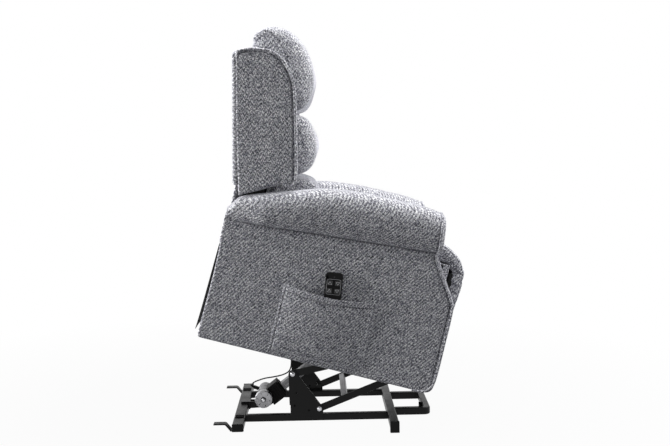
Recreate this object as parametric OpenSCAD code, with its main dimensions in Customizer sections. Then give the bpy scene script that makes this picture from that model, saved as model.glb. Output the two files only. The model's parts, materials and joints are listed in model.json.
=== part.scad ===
// Power lift recliner chair, drawn in its raised (stand-assist) position.
// +X is the way the sitter faces, +Y is to the sitter's left, +Z is up, millimetres.
// X = 0 is the middle of the rear floor tube, Z = 0 is the floor.
// Parts that ride on the seat frame are drawn level inside in_chair(), which lifts and tilts them.
// The back is drawn upright as it stands with the chair raised.

/* [Raised position] */
// forward tilt of the raised chair, degrees
tilt = 15.2; // [10:0.1:20]
// X of the side panel's rear bottom corner when raised
rear_x = -110; // [-130:1:-90]
// Z of the side panel's rear bottom corner when raised
rear_z = 352.5; // [300:0.5:400]

/* [Body] */
// half of the width across the rolled arms
half_w = 400; // [350:5:450]
// Y of the side panel's outer face
panel_y = 375; // [340:5:420]
// Y of the side panel's inner face
inner_y = 255; // [230:5:280]
// height of the seat cushion over the side panel's bottom edge
seat_top = 480; // [440:5:520]
// board and rail thickness of the hollow sides
board = 12; // [9:1:20]

/* [Floor frame] */
// height of the rubber feet under the tubes
foot_h = 8; // [4:1:15]
// half length of the rear floor tube
rear_half = 300; // [260:5:340]
// half length of the front floor tube
front_half = 320; // [280:5:360]
// X of the front floor tube's centre
front_x = 544; // [500:1:600]
// Y of the side rails' centres
rail_y = 172; // [150:1:200]
// tube wall
wall = 2; // [1.5:0.5:3]

/* [Lift linkage] */
// height of the flat links
link_h = 25; // [20:1:32]
// thickness of the flat links
link_t = 6; // [4:1:8]
// diameter of the pivot pins
pin_d = 12; // [8:1:16]
// radial play of the open pivot at the lower link's front end
open_play = 2.4; // [2:0.1:4]

/* [Back] */
// half width of the wings' outer faces
wing_y = 370; // [340:5:400]
// Y of the wings' inner faces
wing_in = 292; // [270:2:310]

/* [Legrest] */
// length of each legrest arm between pivots
leg_arm = 215; // [180:5:240]
// how far down the rear arms their cross tube sits
torque_at = 110; // [90:5:150]

/* [Handset] */
// handset width, thickness, length
hs_size = [58, 18, 165]; // [1:1:300]

/* [Hidden] */
$fn = 48;
fabric_c = [0.43, 0.43, 0.45];
steel_c = [0.07, 0.07, 0.075];
grey_c = [0.62, 0.62, 0.64];
zinc_c = [0.78, 0.79, 0.8];
wood_c = [0.72, 0.56, 0.36];
plastic_c = [0.035, 0.035, 0.04];
// ground pivots of the lift links, and their moving ends in the raised position (X, Z)
A = [190.5, 179.5];
B = [284.5, 51.7];
up_len = 394.91;
lo_len = 364.68;
up_a = 12;
lo_a = 21.3;
C = A + up_len * [cos(up_a), sin(up_a)];
D = B + lo_len * [cos(lo_a), sin(lo_a)];
link_y = 177;
tower_y = rail_y + 12.5;
// lift drive: rear pivot, angle over the floor and carriage position along the rail
P0 = [60, 28];
drive_a = 37;
carriage_r = 480;
// pivots in the level chair frame
Cc = to_chair(C);
Dc = to_chair(D);
Ec = to_chair(P0 + carriage_r * [cos(drive_a), sin(drive_a)]);
leg0 = [655, 300];
legF = [768, 262];
leg_mid = (leg0 + legF) / 2;
leg_dir = (legF - leg0) / norm(legF - leg0);
legK = leg_mid + sqrt(pow(leg_arm, 2) - pow(norm(legF - leg0) / 2, 2)) * [leg_dir[1], -leg_dir[0]];
// recline pivot, upright frame
back_p = [36, 617];

// ---- helpers ------------------------------------------------------------------------------

function to_chair(p) = let (d = p - [rear_x, rear_z])
    [d[0] * cos(tilt) - d[1] * sin(tilt), d[0] * sin(tilt) + d[1] * cos(tilt)];
function sgn(v) = v < 0 ? -1 : 1;
function spow(v, e) = sgn(v) * pow(abs(v), e);
function arc(c, r, a0, a1, n) =
    [for (i = [0:n]) c + r * [cos(a0 + (a1 - a0) * i / n), sin(a0 + (a1 - a0) * i / n)]];
// closed smooth curve through control points, k pieces per span
function smooth(p, k) = let (n = len(p)) [for (i = [0:n - 1]) for (j = [0:k - 1])
    let (t = j / k, a = p[(i + n - 1) % n], b = p[i], c = p[(i + 1) % n], d = p[(i + 2) % n])
    0.5 * (2 * b + t * (c - a) + t * t * (2 * a - 5 * b + 4 * c - d)
        + t * t * t * (3 * b - a - 3 * c + d))];
function middle(p) = [for (k = [0, 1]) let (v = [for (q = p) q[k]]) (max(v) + min(v)) / 2];

module both() { children(); mirror([0, 1, 0]) children(); }
module in_chair() translate([rear_x, 0, rear_z]) rotate([0, tilt, 0]) children();
// a profile drawn in X-Z, from y0 to y1
module plate(y0, y1) translate([0, y0, 0]) rotate([90, 0, 0]) mirror([0, 0, 1])
    linear_extrude(y1 - y0) children();
// a round bar along Y at (x, z)
module rod(p, r, y0, y1) translate([p[0], y0, p[1]]) rotate([-90, 0, 0]) cylinder(r = r, h = y1 - y0);
// a skin through equal rings of points; rings run along the axis they are listed on. A cloth's ring
// runs out along one face and back along the other, and its ends close as a strip.
module loft(rings, cloth = false) {
    n = len(rings[0]);
    m = len(rings);
    ends = cloth ? [for (j = [0:n / 2 - 2]) for (t = [[j, j + 1, n - 2 - j], [j, n - 2 - j, n - 1 - j]]) t]
        : [[for (j = [0:n - 1]) j]];
    polyhedron([for (r = rings) for (p = r) p], concat(
        [for (f = ends) [for (j = [len(f) - 1:-1:0]) f[j]]],
        [for (i = [0:m - 2]) for (j = [0:n - 1]) for (k = [0, 1]) k == 0
            ? [i * n + j, i * n + (j + 1) % n, (i + 1) * n + (j + 1) % n]
            : [i * n + j, (i + 1) * n + (j + 1) % n, (i + 1) * n + j]],
        [for (f = ends) [for (j = f) (m - 1) * n + j]]), convexity = 6);
}
// a cushion: an X-Z outline carried across Y, drawn in towards its ends; ends = [[y, scale], ...]
module pillow(outline, ends) {
    c = middle(outline);
    loft([for (e = ends) [for (p = outline)
        [c[0] + (p[0] - c[0]) * e[1], e[0], c[1] + (p[1] - c[1]) * e[1]]]]);
}
function pillow_ends(w, e, crown) = concat(
    [[-w, 1 - 2.2 * e], [-w + 5, 1 - 1.1 * e], [-w + 16, 1 - 0.45 * e], [-w + 40, 1 - 0.12 * e]],
    [for (i = [-2:2]) [i * w / 3, 1 + crown * (1 - pow(i / 3, 2))]],
    [[w - 40, 1 - 0.12 * e], [w - 16, 1 - 0.45 * e], [w - 5, 1 - 1.1 * e], [w, 1 - 2.2 * e]]);
// a flat link from p to q with an eye at each end, its near face at y = 0
module link(p, q, h, t, rp, rq) {
    d = q - p;
    translate([p[0], 0, p[1]]) rotate([0, -atan2(d[1], d[0]), 0]) difference() {
        union() {
            translate([0, 0, -h / 2]) cube([norm(d), t, h]);
            for (x = [0, norm(d)]) rod([x, 0], h / 2 + 1, 0, t);
        }
        rod([0, 0], rp, -1, t + 1);
        rod([norm(d), 0], rq, -1, t + 1);
    }
}
// a square tube from a to b along one axis
module box_tube(size, w) difference() {
    cube(size);
    translate([size[0] > 200 ? -1 : w, size[1] > 200 ? -1 : w, w])
        cube([size[0] > 200 ? size[0] + 2 : size[0] - 2 * w,
            size[1] > 200 ? size[1] + 2 : size[1] - 2 * w, size[2] - 2 * w]);
}

// ---- floor frame --------------------------------------------------------------------------

module rear_tube() color(steel_c)
    translate([-20, -rear_half, foot_h]) box_tube([40, 2 * rear_half, 25], wall);

module front_tube() color(steel_c)
    translate([front_x - 15, -front_half, foot_h]) box_tube([30, 2 * front_half, 30], wall);

module side_rails() color(steel_c) both()
    translate([20, rail_y - 12.5, foot_h]) box_tube([front_x - 35, 25, 25], wall);

module bumper() color(steel_c) translate([front_x + 15, 0, 6]) difference() {
    union() {
        translate([0, -128, 0]) cube([107, 256, 27]);
        translate([0, -104, 0]) cube([131, 208, 27]);
        for (s = [-1, 1]) translate([107, s * 104, 0]) cylinder(r = 24, h = 27);
    }
    translate([-1, -103, -1]) cube([107, 206, 29]);
}

module tower_plates() color(steel_c) both() difference() {
    plate(tower_y, tower_y + 4)
        polygon(concat([[181, 12], [298, 12], [298, 50]],
            arc(B, 14, 15, 37, 3), arc(A, 14.5, 37, 180, 8), [[178, 68], [181, 68]]));
    for (h = [[204, 110.5], [196, 65], [247, 47]]) rod(h, 3, tower_y - 1, tower_y + 5);
    for (h = [A, B]) rod(h, pin_d / 2, tower_y - 1, tower_y + 5);
}

module tower_bolts() color(zinc_c) both() for (h = [A, B]) {
    rod(h, pin_d / 2, link_y - 4, tower_y + 4);
    rod(h, 8, tower_y + 4, tower_y + 8.5);
    rod(h, 9, link_y - 8, link_y - 3);
}

module end_caps() color(plastic_c) both() {
    translate([-20.5, rear_half, foot_h - 0.5]) cube([41, 4, 26]);
    translate([-18, rear_half - 18, foot_h + 2]) cube([36, 18, 21]);
    translate([front_x - 16, front_half, 0]) cube([32, 15, 39]);
    translate([front_x - 13, front_half - 18, foot_h + 2]) cube([26, 18, 26]);
}

module rear_hooks() color(steel_c) both() plate(255, 285)
    polygon([[-87, 27], [-85, 31], [-46, 31], [-41, 29], [-24, 8], [18, 8], [18, 3], [-27, 3],
        [-45, 25], [-48, 26], [-85, 26]]);

module feet() color(plastic_c) {
    both() translate([-22, 257, 0]) cube([38, 26, 3]);
    translate([-18, -25, 0]) cube([36, 50, foot_h]);
}

module tube_pads() color(plastic_c) {
    both() translate([-15, 184, foot_h + 25]) cube([30, 34, 2.5]);
    translate([650, -98, 22]) cube([15, 12, 22]);
}

module motor_clevis() color(steel_c) difference() {
    union() {
        translate([-8, -20, foot_h + 25]) cube([34, 40, 8]);
        translate([20, -20, 12]) cube([6, 40, 24]);
        both() plate(12.5, 18) polygon(concat([[22, 15]], arc(P0, 11, -90, 80, 8), [[24, 41]]));
    }
    rod(P0, 6, -20, 20);
}

module clevis_pin() color(zinc_c) {
    rod(P0, 6, -18, 18);
    both() rod(P0, 9, 18, 21);
}

// ---- lift linkage -------------------------------------------------------------------------

module upper_links() color(steel_c) both() translate([0, link_y, 0])
    link(A, C, link_h, link_t, pin_d / 2 + 0.05, pin_d / 2 + 0.05);

module upper_cross_tube() color(steel_c)
    rod(A + 355 * [cos(up_a), sin(up_a)], 12.5, -link_y, link_y);

module lower_links() color(steel_c) both() translate([0, link_y, 0])
    link(B, D, link_h, link_t, pin_d / 2 + 0.05, pin_d / 2 + open_play);

module lower_cross_tube() color(grey_c)
    translate([B[0], -link_y, B[1]]) rotate([0, -lo_a, 0]) translate([88, 0, -10])
        cube([20, 2 * link_y, 20]);

// ---- lift drive, drawn along local X from its rear pivot ----------------------------------

module on_drive() translate([P0[0], 0, P0[1]]) rotate([0, -drive_a, 0]) children();

module lift_gearbox() color(plastic_c) on_drive() difference() {
    union() {
        translate([46, -34, -33]) cube([60, 68, 66]);
        translate([96, -22, -25]) cube([14, 44, 50]);
        translate([0, -11, -12]) cube([50, 22, 22]);
        rod([0, 0], 12, -11, 11);
        translate([30, -26, -26]) cube([30, 52, 14]);
    }
    rod([0, 0], 6.05, -12, 12);
    rod([37, 17], 26.2, -40, 40);
}

module lift_motor() color(zinc_c) on_drive() {
    rod([37, 17], 26, -52, 86);
    translate([37, 44, 17]) rotate([0, -122.3, 0]) translate([24, 0, -6]) cube([22, 12, 12]);
}

module motor_cap() color(zinc_c) on_drive() {
    rod([37, 17], 31.5, -90, -52);
    rod([37, 17], 9, -94, -90);
}

module lift_rail() color(grey_c) on_drive() difference() {
    translate([110, -17, -15]) cube([415, 34, 30]);
    for (s = [-1, 1]) translate([109, s * 17 - 3, -4]) cube([417, 6, 8]);
}

// a round lead along a path that stays near an X-Z plane
module lead(path, r) loft([for (i = [0:len(path) - 1])
    let (d = path[min(i + 1, len(path) - 1)] - path[max(i - 1, 0)], u = d / norm(d),
        n1 = cross([0, 1, 0], u) / norm(cross([0, 1, 0], u)), n2 = cross(u, n1))
    [for (k = [0:7]) path[i] + r * (cos(-45 * k) * n1 + sin(-45 * k) * n2)]]);

module lift_lead() color(plastic_c) lead([[36.3, 50, 80.2], [32, 47, 84], [32, 36, 94], [39, 22, 104],
    [54, 10, 113], [81, 2, 123], [118, 0, 129], [146, 0, 135], [163, 0, 142], [174, 0, 151],
    [181, 0, 170], [182, 0, 210], [178, 0, 280], [169, 0, 350], [164, 0, 384]], 2.5);

module lift_carriage() color(plastic_c) on_drive() difference() {
    translate([carriage_r - 26, -24, -21]) cube([52, 48, 42]);
    translate([carriage_r - 30, -17.5, -15.5]) cube([60, 35, 31]);
}

// ---- seat frame, level --------------------------------------------------------------------

module lift_rails() color(steel_c) in_chair() both() plate(197, 201)
    difference() {
        polygon([[50, 92], [50, 128], [640, 128], [700, 112], [786, 92], [786, 20], [738, 14],
            [728, 60], [640, 74]]);
        for (p = [Cc, Dc]) translate(p) circle(d = pin_d);
    }

drive_tube = Ec + 48 * [cos(125), sin(125)];
// rear bottom corners of the cross tubes, and their half lengths
tube_at = [[76, 128, inner_y], [drive_tube[0] - 12, drive_tube[1] - 12, inner_y], [762, 48, 197]];
module cross_tubes() color(steel_c) in_chair() {
    for (t = tube_at) translate([t[0], -t[2], t[1]]) cube([24, 2 * t[2], 24]);
    both() plate(25.5, 30.5) difference() {
        polygon(concat(arc(Ec, 14, -145, 35, 8), [drive_tube + [12, 12], drive_tube + [-12, 12],
            drive_tube + [-12, -12]]));
        translate(Ec) circle(r = 6);
    }
}

module frame_pins() color(zinc_c) in_chair() both() {
    for (p = [Cc, Dc]) {
        rod(p, pin_d / 2, 172, 201);
        rod(p, 10, 168, 172);
        rod(p, 10, 186, 197);
        rod(p, 9, 201, 206);
    }
    rod(Ec, 6, 25.5, 36);
    rod(Ec, 9, 36, 40);
    rod(leg0, 7, 228, inner_y);
    rod(to_chair(back_p), 8, 240, inner_y);
}

function under(x) = 410.5 + (x - 23.6) * 0.0894;
side_outline = concat([[10, 0]], arc([766, 38], 38, -90, 0, 6), [[795, 298]],
    arc([775, 301], 20, 0, 34, 3), [[692, under(692)], [-17, under(-17)], [-15.7, 234],
    [-10, 100], [-4, 10], [1, 2]]);
module side_box() difference() {
    plate(inner_y, panel_y) polygon(side_outline);
    plate(inner_y + board, panel_y - board) polygon([[22, 20], [755, 20], [778, 50], [770, 290],
        [680, under(680) - 30], [8, under(8) - 26], [10, 120]]);
}
module side_box_l() color(fabric_c) in_chair() side_box();
module side_box_r() color(fabric_c) in_chair() mirror([0, 1, 0]) side_box();

// rolled arm: sections across the arm, carried along it
function crown(x) = lookup(x, [[-17, 456], [10, 492], [60, 514], [125, 538], [191, 560],
    [265, 586], [366, 603], [469, 611], [609, 613], [682, 607], [704, 594]]);
arm_y = (half_w + inner_y) / 2;
arm_st = [[-17, 0.84], [-12, 0.94], [2, 0.99], [40, 1], [90, 1], [140, 1], [191, 1], [265, 1],
    [340, 1], [430, 1], [520, 1], [600, 1], [650, 1], [680, 1], [694, 0.985], [702, 0.945],
    [705, 0.89]];
module arm_pad() loft([for (s = arm_st)
    let (x = s[0], e = s[1], lo = under(x), hi = crown(x), k = max(0, (x - 620) / 85),
        zc = (lo + hi) / 2 - 6, hz = hi - zc)
    [for (j = [0:25]) let (a = 360 * j / 26,
        y = arm_y + (half_w - arm_y) * e * spow(cos(a), 0.72),
        z = max(lo + 0.05 + (1 - e) * 40, zc + hz * (1 - (1 - e) * 1.1) * spow(sin(a), 0.8)))
        [x - k * (z - 470) * 0.14, -y, z]]]);
module arm_pad_r() color(fabric_c) in_chair() arm_pad();
module arm_pad_l() color(fabric_c) in_chair() mirror([0, 1, 0]) arm_pad();

// cloth pocket on the right side, standing off its panel in the middle
pk_x = [226, 550];
function pk_top(u) = 250 + 11 * u - 15 * sin(180 * u);
function pk_out(u, v) = 25 * pow(max(0.02, sin(180 * u)), 0.55) * pow(v, 0.38);
module side_pocket() color(fabric_c) in_chair() loft([for (i = [0:18]) let (u = i / 18,
    x = pk_x[0] + (pk_x[1] - pk_x[0]) * u)
    concat([for (j = [0:7]) let (v = j / 7) [x, -panel_y - 2 - pk_out(u, v), 20 + (pk_top(u) - 20) * v]],
        [for (j = [7:-1:0]) let (v = j / 7) [x, -panel_y - pk_out(u, v), 20 + (pk_top(u) - 20) * v]])],
    cloth = true);

module seat_rails() color(wood_c) in_chair() {
    translate([722, -inner_y, 396]) cube([32, 2 * inner_y, 48]);
    translate([190, -inner_y, 396]) cube([24, 2 * inner_y, 40]);
}

module seat_deck() color(steel_c) in_chair() for (i = [-3:3])
    translate([214, i * 66 - 20, 420]) cube([508, 40, 5]);

module seat_cushion() color(fabric_c) in_chair()
    pillow(smooth([[222, 436], [221, 462], [236, 478], [290, seat_top + 6], [400, seat_top + 8],
        [560, seat_top + 14], [660, 502], [718, 507], [757, 492], [790, 466], [818, 432], [826, 420],
        [808, 417], [789, 424], [778, 442], [760, 451], [736, 451], [716, 446], [704, 431],
        [600, 428], [350, 428], [240, 428]], 2),
        pillow_ends(249, 0.035, 0.008));

module rear_flap() color(plastic_c) in_chair() loft([for (i = [-7:7]) let (y = 35 * i)
    concat([for (j = [0:6]) let (v = j / 6) [flap_x(y, v) - 2, y, 356 - 336 * v]],
        [for (j = [6:-1:0]) let (v = j / 6) [flap_x(y, v), y, 356 - 336 * v]])], cloth = true);
function flap_x(y, v) = -17 - 3 * v - 1.2 * sin(y * 1.7 + 20) * v
    - 8 * pow(v, 8) * pow(abs(y) / 245, 6);

module control_box() color(plastic_c) in_chair() {
    translate([205, -70, 104]) cube([130, 140, 46]);
    translate([196, -40, 112]) cube([9, 27, 20]);
    translate([236, -40, 150]) cube([12, 80, 270]);
}

// ---- back, upright ------------------------------------------------------------------------

module back_plates() color(steel_c) both() plate(243, 247) difference() {
    polygon(concat([[14, 617]], arc(lever_t, 18, 200, 340, 8), [[60, 610], [100, 700], [104, 858],
        [30, 858]]));
    translate(back_p) circle(r = 8.05);
}

// cross tube of the back with the two lever plates that the back drive pulls on
lever_t = [48.6, 573.6];
lever_e = [20, 506.8];
module back_lever() color(steel_c) {
    rod(lever_t, 12, -243, 243);
    for (y = [32, 83]) plate(y, y + 5) polygon(concat(arc(lever_t, 14, 0, 180, 8),
        arc(lever_e, 13, 180, 360, 8)));
    for (y = [27, 83]) rod(lever_e, 6, y, y + 10);
}

module back_stiles() color(wood_c) both() {
    translate([30, 222, 700]) cube([76, 20, 162]);
    translate([30, 252, 880]) cube([40, 34, 410]);
}

module back_rails() color(wood_c) {
    translate([30, -286, 862]) cube([76, 572, 18]);
    translate([30, -252, 1060]) cube([60, 504, 30]);
    translate([26, -286, 1290]) cube([32, 572, 14]);
    translate([34, -222, 690]) cube([40, 444, 30]);
}

module back_shell() color(fabric_c) {
    plate(-wing_y + 4, wing_y - 4) polygon([[7, 864], [13, 1100], [16, 1298], [20, 1308], [25, 1312],
        [25, 864]]);
    plate(-wing_in + 1, wing_in - 1) polygon([[25, 1305], [25, 1312], [36, 1314], [56, 1313],
        [56, 1305]]);
    in_chair() plate(-247, 247) polygon([[-20, 524], [-16, 440], [-14, 362], [-6, 362], [-5, 440],
        [0, 524]]);
}

wing_outline = [[26, 836], [42, 833], [110, 845], [174, 857], [184, 858], [199, 852], [214, 859],
    [222, 876], [225, 920], [226, 1100], [224, 1177], [219, 1213], [210, 1238], [201, 1256],
    [190, 1275], [177, 1290], [160, 1303], [141, 1312], [110, 1317], [80, 1319], [50, 1316],
    [34, 1311], [26, 1303]];
module wing() {
    c = middle(wing_outline);
    loft([for (e = [[-wing_y, 9], [-wing_y + 3, 4], [-wing_y + 9, 1], [-wing_y + 18, 0],
        [-330, 0], [-wing_in - 8, 0], [-wing_in, 5]])
        [for (p = wing_outline) let (d = [p[0] - c[0], p[1] - c[1]])
            [p[0] - sgn(d[0]) * e[1] * min(1, abs(d[0]) / 90), e[0],
                p[1] - sgn(d[1]) * e[1] * min(1, abs(d[1]) / 200)]]]);
}
module wing_r() color(fabric_c) wing();
module wing_l() color(fabric_c) mirror([0, 1, 0]) wing();

module head_pillow() color(fabric_c)
    pillow(smooth([[122, 1118], [150, 1112], [200, 1111], [244, 1117], [273, 1144], [290, 1186],
        [295, 1228], [289, 1274], [274, 1322], [248, 1370], [214, 1405], [178, 1422], [140, 1427],
        [98, 1416], [70, 1388], [60, 1345], [76, 1290], [104, 1210], [112, 1140]], 2),
        pillow_ends(286, 0.045, 0.006));

module lumbar_pillow() color(fabric_c)
    pillow(smooth([[113, 905], [121, 892], [180, 889], [240, 891], [268, 901], [290, 930], [300, 975],
        [297, 1020], [282, 1060], [262, 1092], [236, 1102], [180, 1103], [124, 1101], [113, 1088]], 2),
        pillow_ends(284, 0.04, 0.006));

module lower_pillow() color(fabric_c)
    pillow(smooth([[113, 748], [122, 737], [160, 734], [196, 742], [212, 764], [232, 776], [262, 768],
        [296, 762], [312, 785], [311, 815], [300, 845], [280, 868], [248, 882], [180, 884], [122, 881],
        [112, 868]], 2), pillow_ends(240, 0.04, 0.004));

// ---- back drive, in the level chair frame -------------------------------------------------

bd0 = [640, 228];
bd1 = to_chair(lever_e);
bd_a = atan2(bd0[1] - bd1[1], bd0[0] - bd1[0]);
bd_len = norm(bd0 - bd1);
module on_back_drive() in_chair() translate([bd0[0], 60, bd0[1]]) rotate([0, 180 - bd_a, 0])
    children();

module back_drive() color(grey_c) on_back_drive() difference() {
    union() {
        translate([-14, -12, -14]) cube([40, 24, 28]);
        translate([26, -30, -28]) cube([70, 60, 56]);
        rod([50, 20], 24, -90, -30);
        translate([96, -14, -13]) cube([bd_len - 66, 28, 26]);
    }
    rod([0, 0], 6.05, -13, 13);
}

module back_carriage() color(plastic_c) on_back_drive() difference() {
    translate([bd_len - 24, -22, -19]) cube([48, 44, 38]);
    translate([bd_len - 28, -14.5, -13.5]) cube([56, 29, 27]);
}

// ---- legrest, level and folded away ---------------------------------------------------------

module leg_rear_arms() color(steel_c) in_chair() both() translate([0, 230, 0]) {
        link(leg0, legK, 24, 5, 7.05, 3);
        rod(legK, 5, -9, 5);
        rod(legK, 8, -12, -9);
    }

module leg_torque_tube() color(steel_c) in_chair()
    rod(leg0 + torque_at * (legK - leg0) / leg_arm, 11, -230, 230);

module leg_front_arms() color(steel_c) in_chair() both() {
    translate([0, 222, 0]) difference() {
        link(legK, legF, 22, 5, 3, 5.05);
        rod(legK, 5.05, -1, 6);
    }
}

module leg_front_tube() color(steel_c) in_chair()
    rod(legK + 150 * (legF - legK) / leg_arm, 9, -222, 222);

module footrest_brackets() color(steel_c) in_chair() both() {
    plate(214, 219) polygon([[758, 252], [768, 249], [783, 236], [783, 300], [766, 276], [758, 270]]);
    rod(legF, 5, 212, 228);
}

module footrest_board() color(wood_c) in_chair() translate([783, -240, 104]) cube([12, 480, 300]);

module footrest_pad() color(fabric_c) in_chair()
    pillow(smooth([[799, 97], [812, 92], [823, 104], [827, 160], [829, 230], [829, 310], [828, 370],
        [822, 404], [809, 413], [799, 409], [797, 330], [797, 250], [797, 170]], 2),
        pillow_ends(249, 0.02, 0.0));

// ---- handset ------------------------------------------------------------------------------

hs_at = [407, 163];
hs_lean = -8.5;
key_at = [[-13, 130], [13, 130], [-13, 104], [13, 104]];
// local frame: X across, Z up the handset from its bottom edge, outer face on -Y
module on_handset() in_chair() translate([hs_at[0], -panel_y - 1.5 - hs_size[1], hs_at[1]])
    rotate([0, hs_lean, 0]) children();

module handset_case() color(plastic_c) on_handset() difference() {
    union() {
        translate([-hs_size[0] / 2, 0, 10]) cube([hs_size[0], hs_size[1], hs_size[2] - 20]);
        translate([-hs_size[0] / 2 + 10, 0, 0])
            cube([hs_size[0] - 20, hs_size[1], hs_size[2]]);
        for (s = [-1, 1]) for (z = [10, hs_size[2] - 10])
            rod([s * (hs_size[0] / 2 - 10), z], 10, 0, hs_size[1]);
    }
    for (k = key_at) translate([k[0] - 9.3, -1, k[1] - 8.3]) cube([18.6, 6, 16.6]);
}

module key(k) color(grey_c) on_handset()
    translate([key_at[k][0] - 9, -1.6, key_at[k][1] - 8]) cube([18, 4.6, 16]);
module key_back_up() key(0);
module key_back_down() key(1);
module key_lift_up() key(2);
module key_lift_down() key(3);

// ---- selection ----------------------------------------------------------------------------

rear_tube();
front_tube();
side_rails();
bumper();
tower_plates();
tower_bolts();
end_caps();
rear_hooks();
feet();
tube_pads();
motor_clevis();
clevis_pin();
upper_links();
upper_cross_tube();
lower_links();
lower_cross_tube();
lift_gearbox();
lift_motor();
motor_cap();
lift_rail();
lift_lead();
lift_carriage();
lift_rails();
cross_tubes();
frame_pins();
side_box_r();
side_box_l();
arm_pad_r();
arm_pad_l();
side_pocket();
seat_rails();
seat_deck();
seat_cushion();
rear_flap();
control_box();
back_plates();
back_lever();
back_stiles();
back_rails();
back_shell();
wing_r();
wing_l();
head_pillow();
lumbar_pillow();
lower_pillow();
back_drive();
back_carriage();
leg_rear_arms();
leg_torque_tube();
leg_front_arms();
leg_front_tube();
footrest_brackets();
footrest_board();
footrest_pad();
handset_case();
key_back_up();
key_back_down();
key_lift_up();
key_lift_down();
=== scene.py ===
# %% [markdown]
# # Dressing a power lift recliner
# A lift recliner is a padded armchair on a steel linkage that tips it forward to help its sitter
# stand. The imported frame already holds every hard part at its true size, so this lesson adds what
# upholstery and finish bring: cushions blown up as cloth, wrapped panels with piping, a cloth
# pocket, a lead that hangs between two moving parts, and a material for each surface.

# %% The frame
import json
import math

import bmesh
import bpy
import numpy as np
from mathutils import Matrix, Vector


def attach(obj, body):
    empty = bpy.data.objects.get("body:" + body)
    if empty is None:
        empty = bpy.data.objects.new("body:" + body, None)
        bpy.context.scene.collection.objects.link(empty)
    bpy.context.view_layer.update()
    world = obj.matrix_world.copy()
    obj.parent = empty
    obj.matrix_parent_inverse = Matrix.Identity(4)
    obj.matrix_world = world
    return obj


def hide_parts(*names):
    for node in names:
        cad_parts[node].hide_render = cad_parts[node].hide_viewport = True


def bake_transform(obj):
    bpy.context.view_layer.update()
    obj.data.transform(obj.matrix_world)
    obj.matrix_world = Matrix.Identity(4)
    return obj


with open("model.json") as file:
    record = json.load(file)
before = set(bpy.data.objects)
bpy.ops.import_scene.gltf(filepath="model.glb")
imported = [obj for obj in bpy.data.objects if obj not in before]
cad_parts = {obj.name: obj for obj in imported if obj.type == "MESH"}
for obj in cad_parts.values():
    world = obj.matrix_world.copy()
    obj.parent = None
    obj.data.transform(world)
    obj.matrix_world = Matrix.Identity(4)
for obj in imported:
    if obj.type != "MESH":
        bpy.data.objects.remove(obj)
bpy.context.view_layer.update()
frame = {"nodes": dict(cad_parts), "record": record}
MM = 0.001

# %% [markdown]
# ## The camera
# The chair is seen from its right side, from a little above and a little behind the middle. A
# camera is three unit vectors and a point: where it looks, what is right and what is up. They go
# into its matrix as columns, which keeps yaw, pitch and roll apart and easy to read.

# %% Camera
FRAME_PX = (670, 446)
FOCAL_PX = 1026.9
SENSOR = 36
EYE = Vector((0.2881, -3.8037, 1.0029))
YAW, PITCH, ROLL = 0.0175, -0.0785, -0.0167

look = Vector((math.sin(YAW) * math.cos(PITCH), math.cos(YAW) * math.cos(PITCH), math.sin(PITCH)))
level = Vector((math.cos(YAW), -math.sin(YAW), 0))
upward = level.cross(look)
right = level * math.cos(ROLL) + upward * math.sin(ROLL)
above = upward * math.cos(ROLL) - level * math.sin(ROLL)
camera = bpy.data.objects.new("camera", bpy.data.cameras.new("camera"))
camera.data.sensor_width = SENSOR
camera.data.lens = FOCAL_PX / FRAME_PX[0] * SENSOR
camera.matrix_world = Matrix([(right[k], above[k], -look[k], EYE[k]) for k in range(3)] + [(0, 0, 0, 1)])
bpy.context.scene.collection.objects.link(camera)
bpy.context.scene.camera = camera
bpy.context.scene.view_settings.view_transform = "Standard"
print(f"camera: {camera.data.lens:.1f} mm lens")

# %% [markdown]
# ## Building shader nodes
# A material here is a small tree of nodes. One helper makes a node and sets its sockets, where a
# value that is itself a socket becomes a link. Effects that several finishes share are node
# groups with named inputs, made once and placed wherever they are wanted.

# %% Node helpers
def node(tree, kind, sockets=None, **settings):
    """A node of that kind; each socket gets a plain value, or a link where the value is a socket."""
    made = tree.nodes.new("ShaderNode" + kind)
    for key, value in settings.items():
        setattr(made, key, value)
    for key, value in (sockets or {}).items():
        if isinstance(value, bpy.types.NodeSocket):
            tree.links.new(value, made.inputs[key])
        else:
            made.inputs[key].default_value = value
    return made


def maths(tree, operation, *values, clamp=False):
    """The result of one operation on numbers and sockets."""
    return node(tree, "Math", dict(enumerate(values)), operation=operation, use_clamp=clamp).outputs[0]


def effect(name, inputs, outputs):
    """An empty node group with float sockets; gives its tree, its input node and its output node."""
    tree = bpy.data.node_groups.new(name, "ShaderNodeTree")
    for key, value in inputs.items():
        tree.interface.new_socket(key, in_out="INPUT", socket_type="NodeSocketFloat").default_value = value
    for key in outputs:
        tree.interface.new_socket(key, in_out="OUTPUT", socket_type="NodeSocketFloat")
    return tree, tree.nodes.new("NodeGroupInput").outputs, tree.nodes.new("NodeGroupOutput").inputs


def per_cell(tree, size):
    """The object's own coordinates, and how many cells of that size go in a metre."""
    return node(tree, "TexCoord").outputs["Object"], maths(tree, "DIVIDE", 1.0, size)


def grey(value, blue=1.04):
    """A neutral colour with the slight blue cast of the cloth and the steel."""
    return (value, value, value * blue, 1)


# %% [markdown]
# ## Shared effects: yarn, skin and wear
# The cover is a tweed of black, grey and pale yarns. Seen close it is a field of small nubs, each
# of one shade, crossed by a fine herringbone: steep diagonal lines that turn back at every
# column. A Voronoi cell stands for a nub, its random colour for the shade and its rounded distance
# for the height, and a ping-pong across the cloth bends straight lines into the herringbone. Each
# nub pushes the lines a little along, so that they break up as spun yarn does. On the seat the
# columns are so wide that the lines run one way. Its cloth is laid square to the tipped
# seat, so the group has a tilt. Painted, moulded and plated surfaces share a fine skin, and a broad
# noise gives handling marks.

# %% Yarn group
FIRST_COLUMN = 1000.0  # cells; no column then turns back at the object's middle


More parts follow.
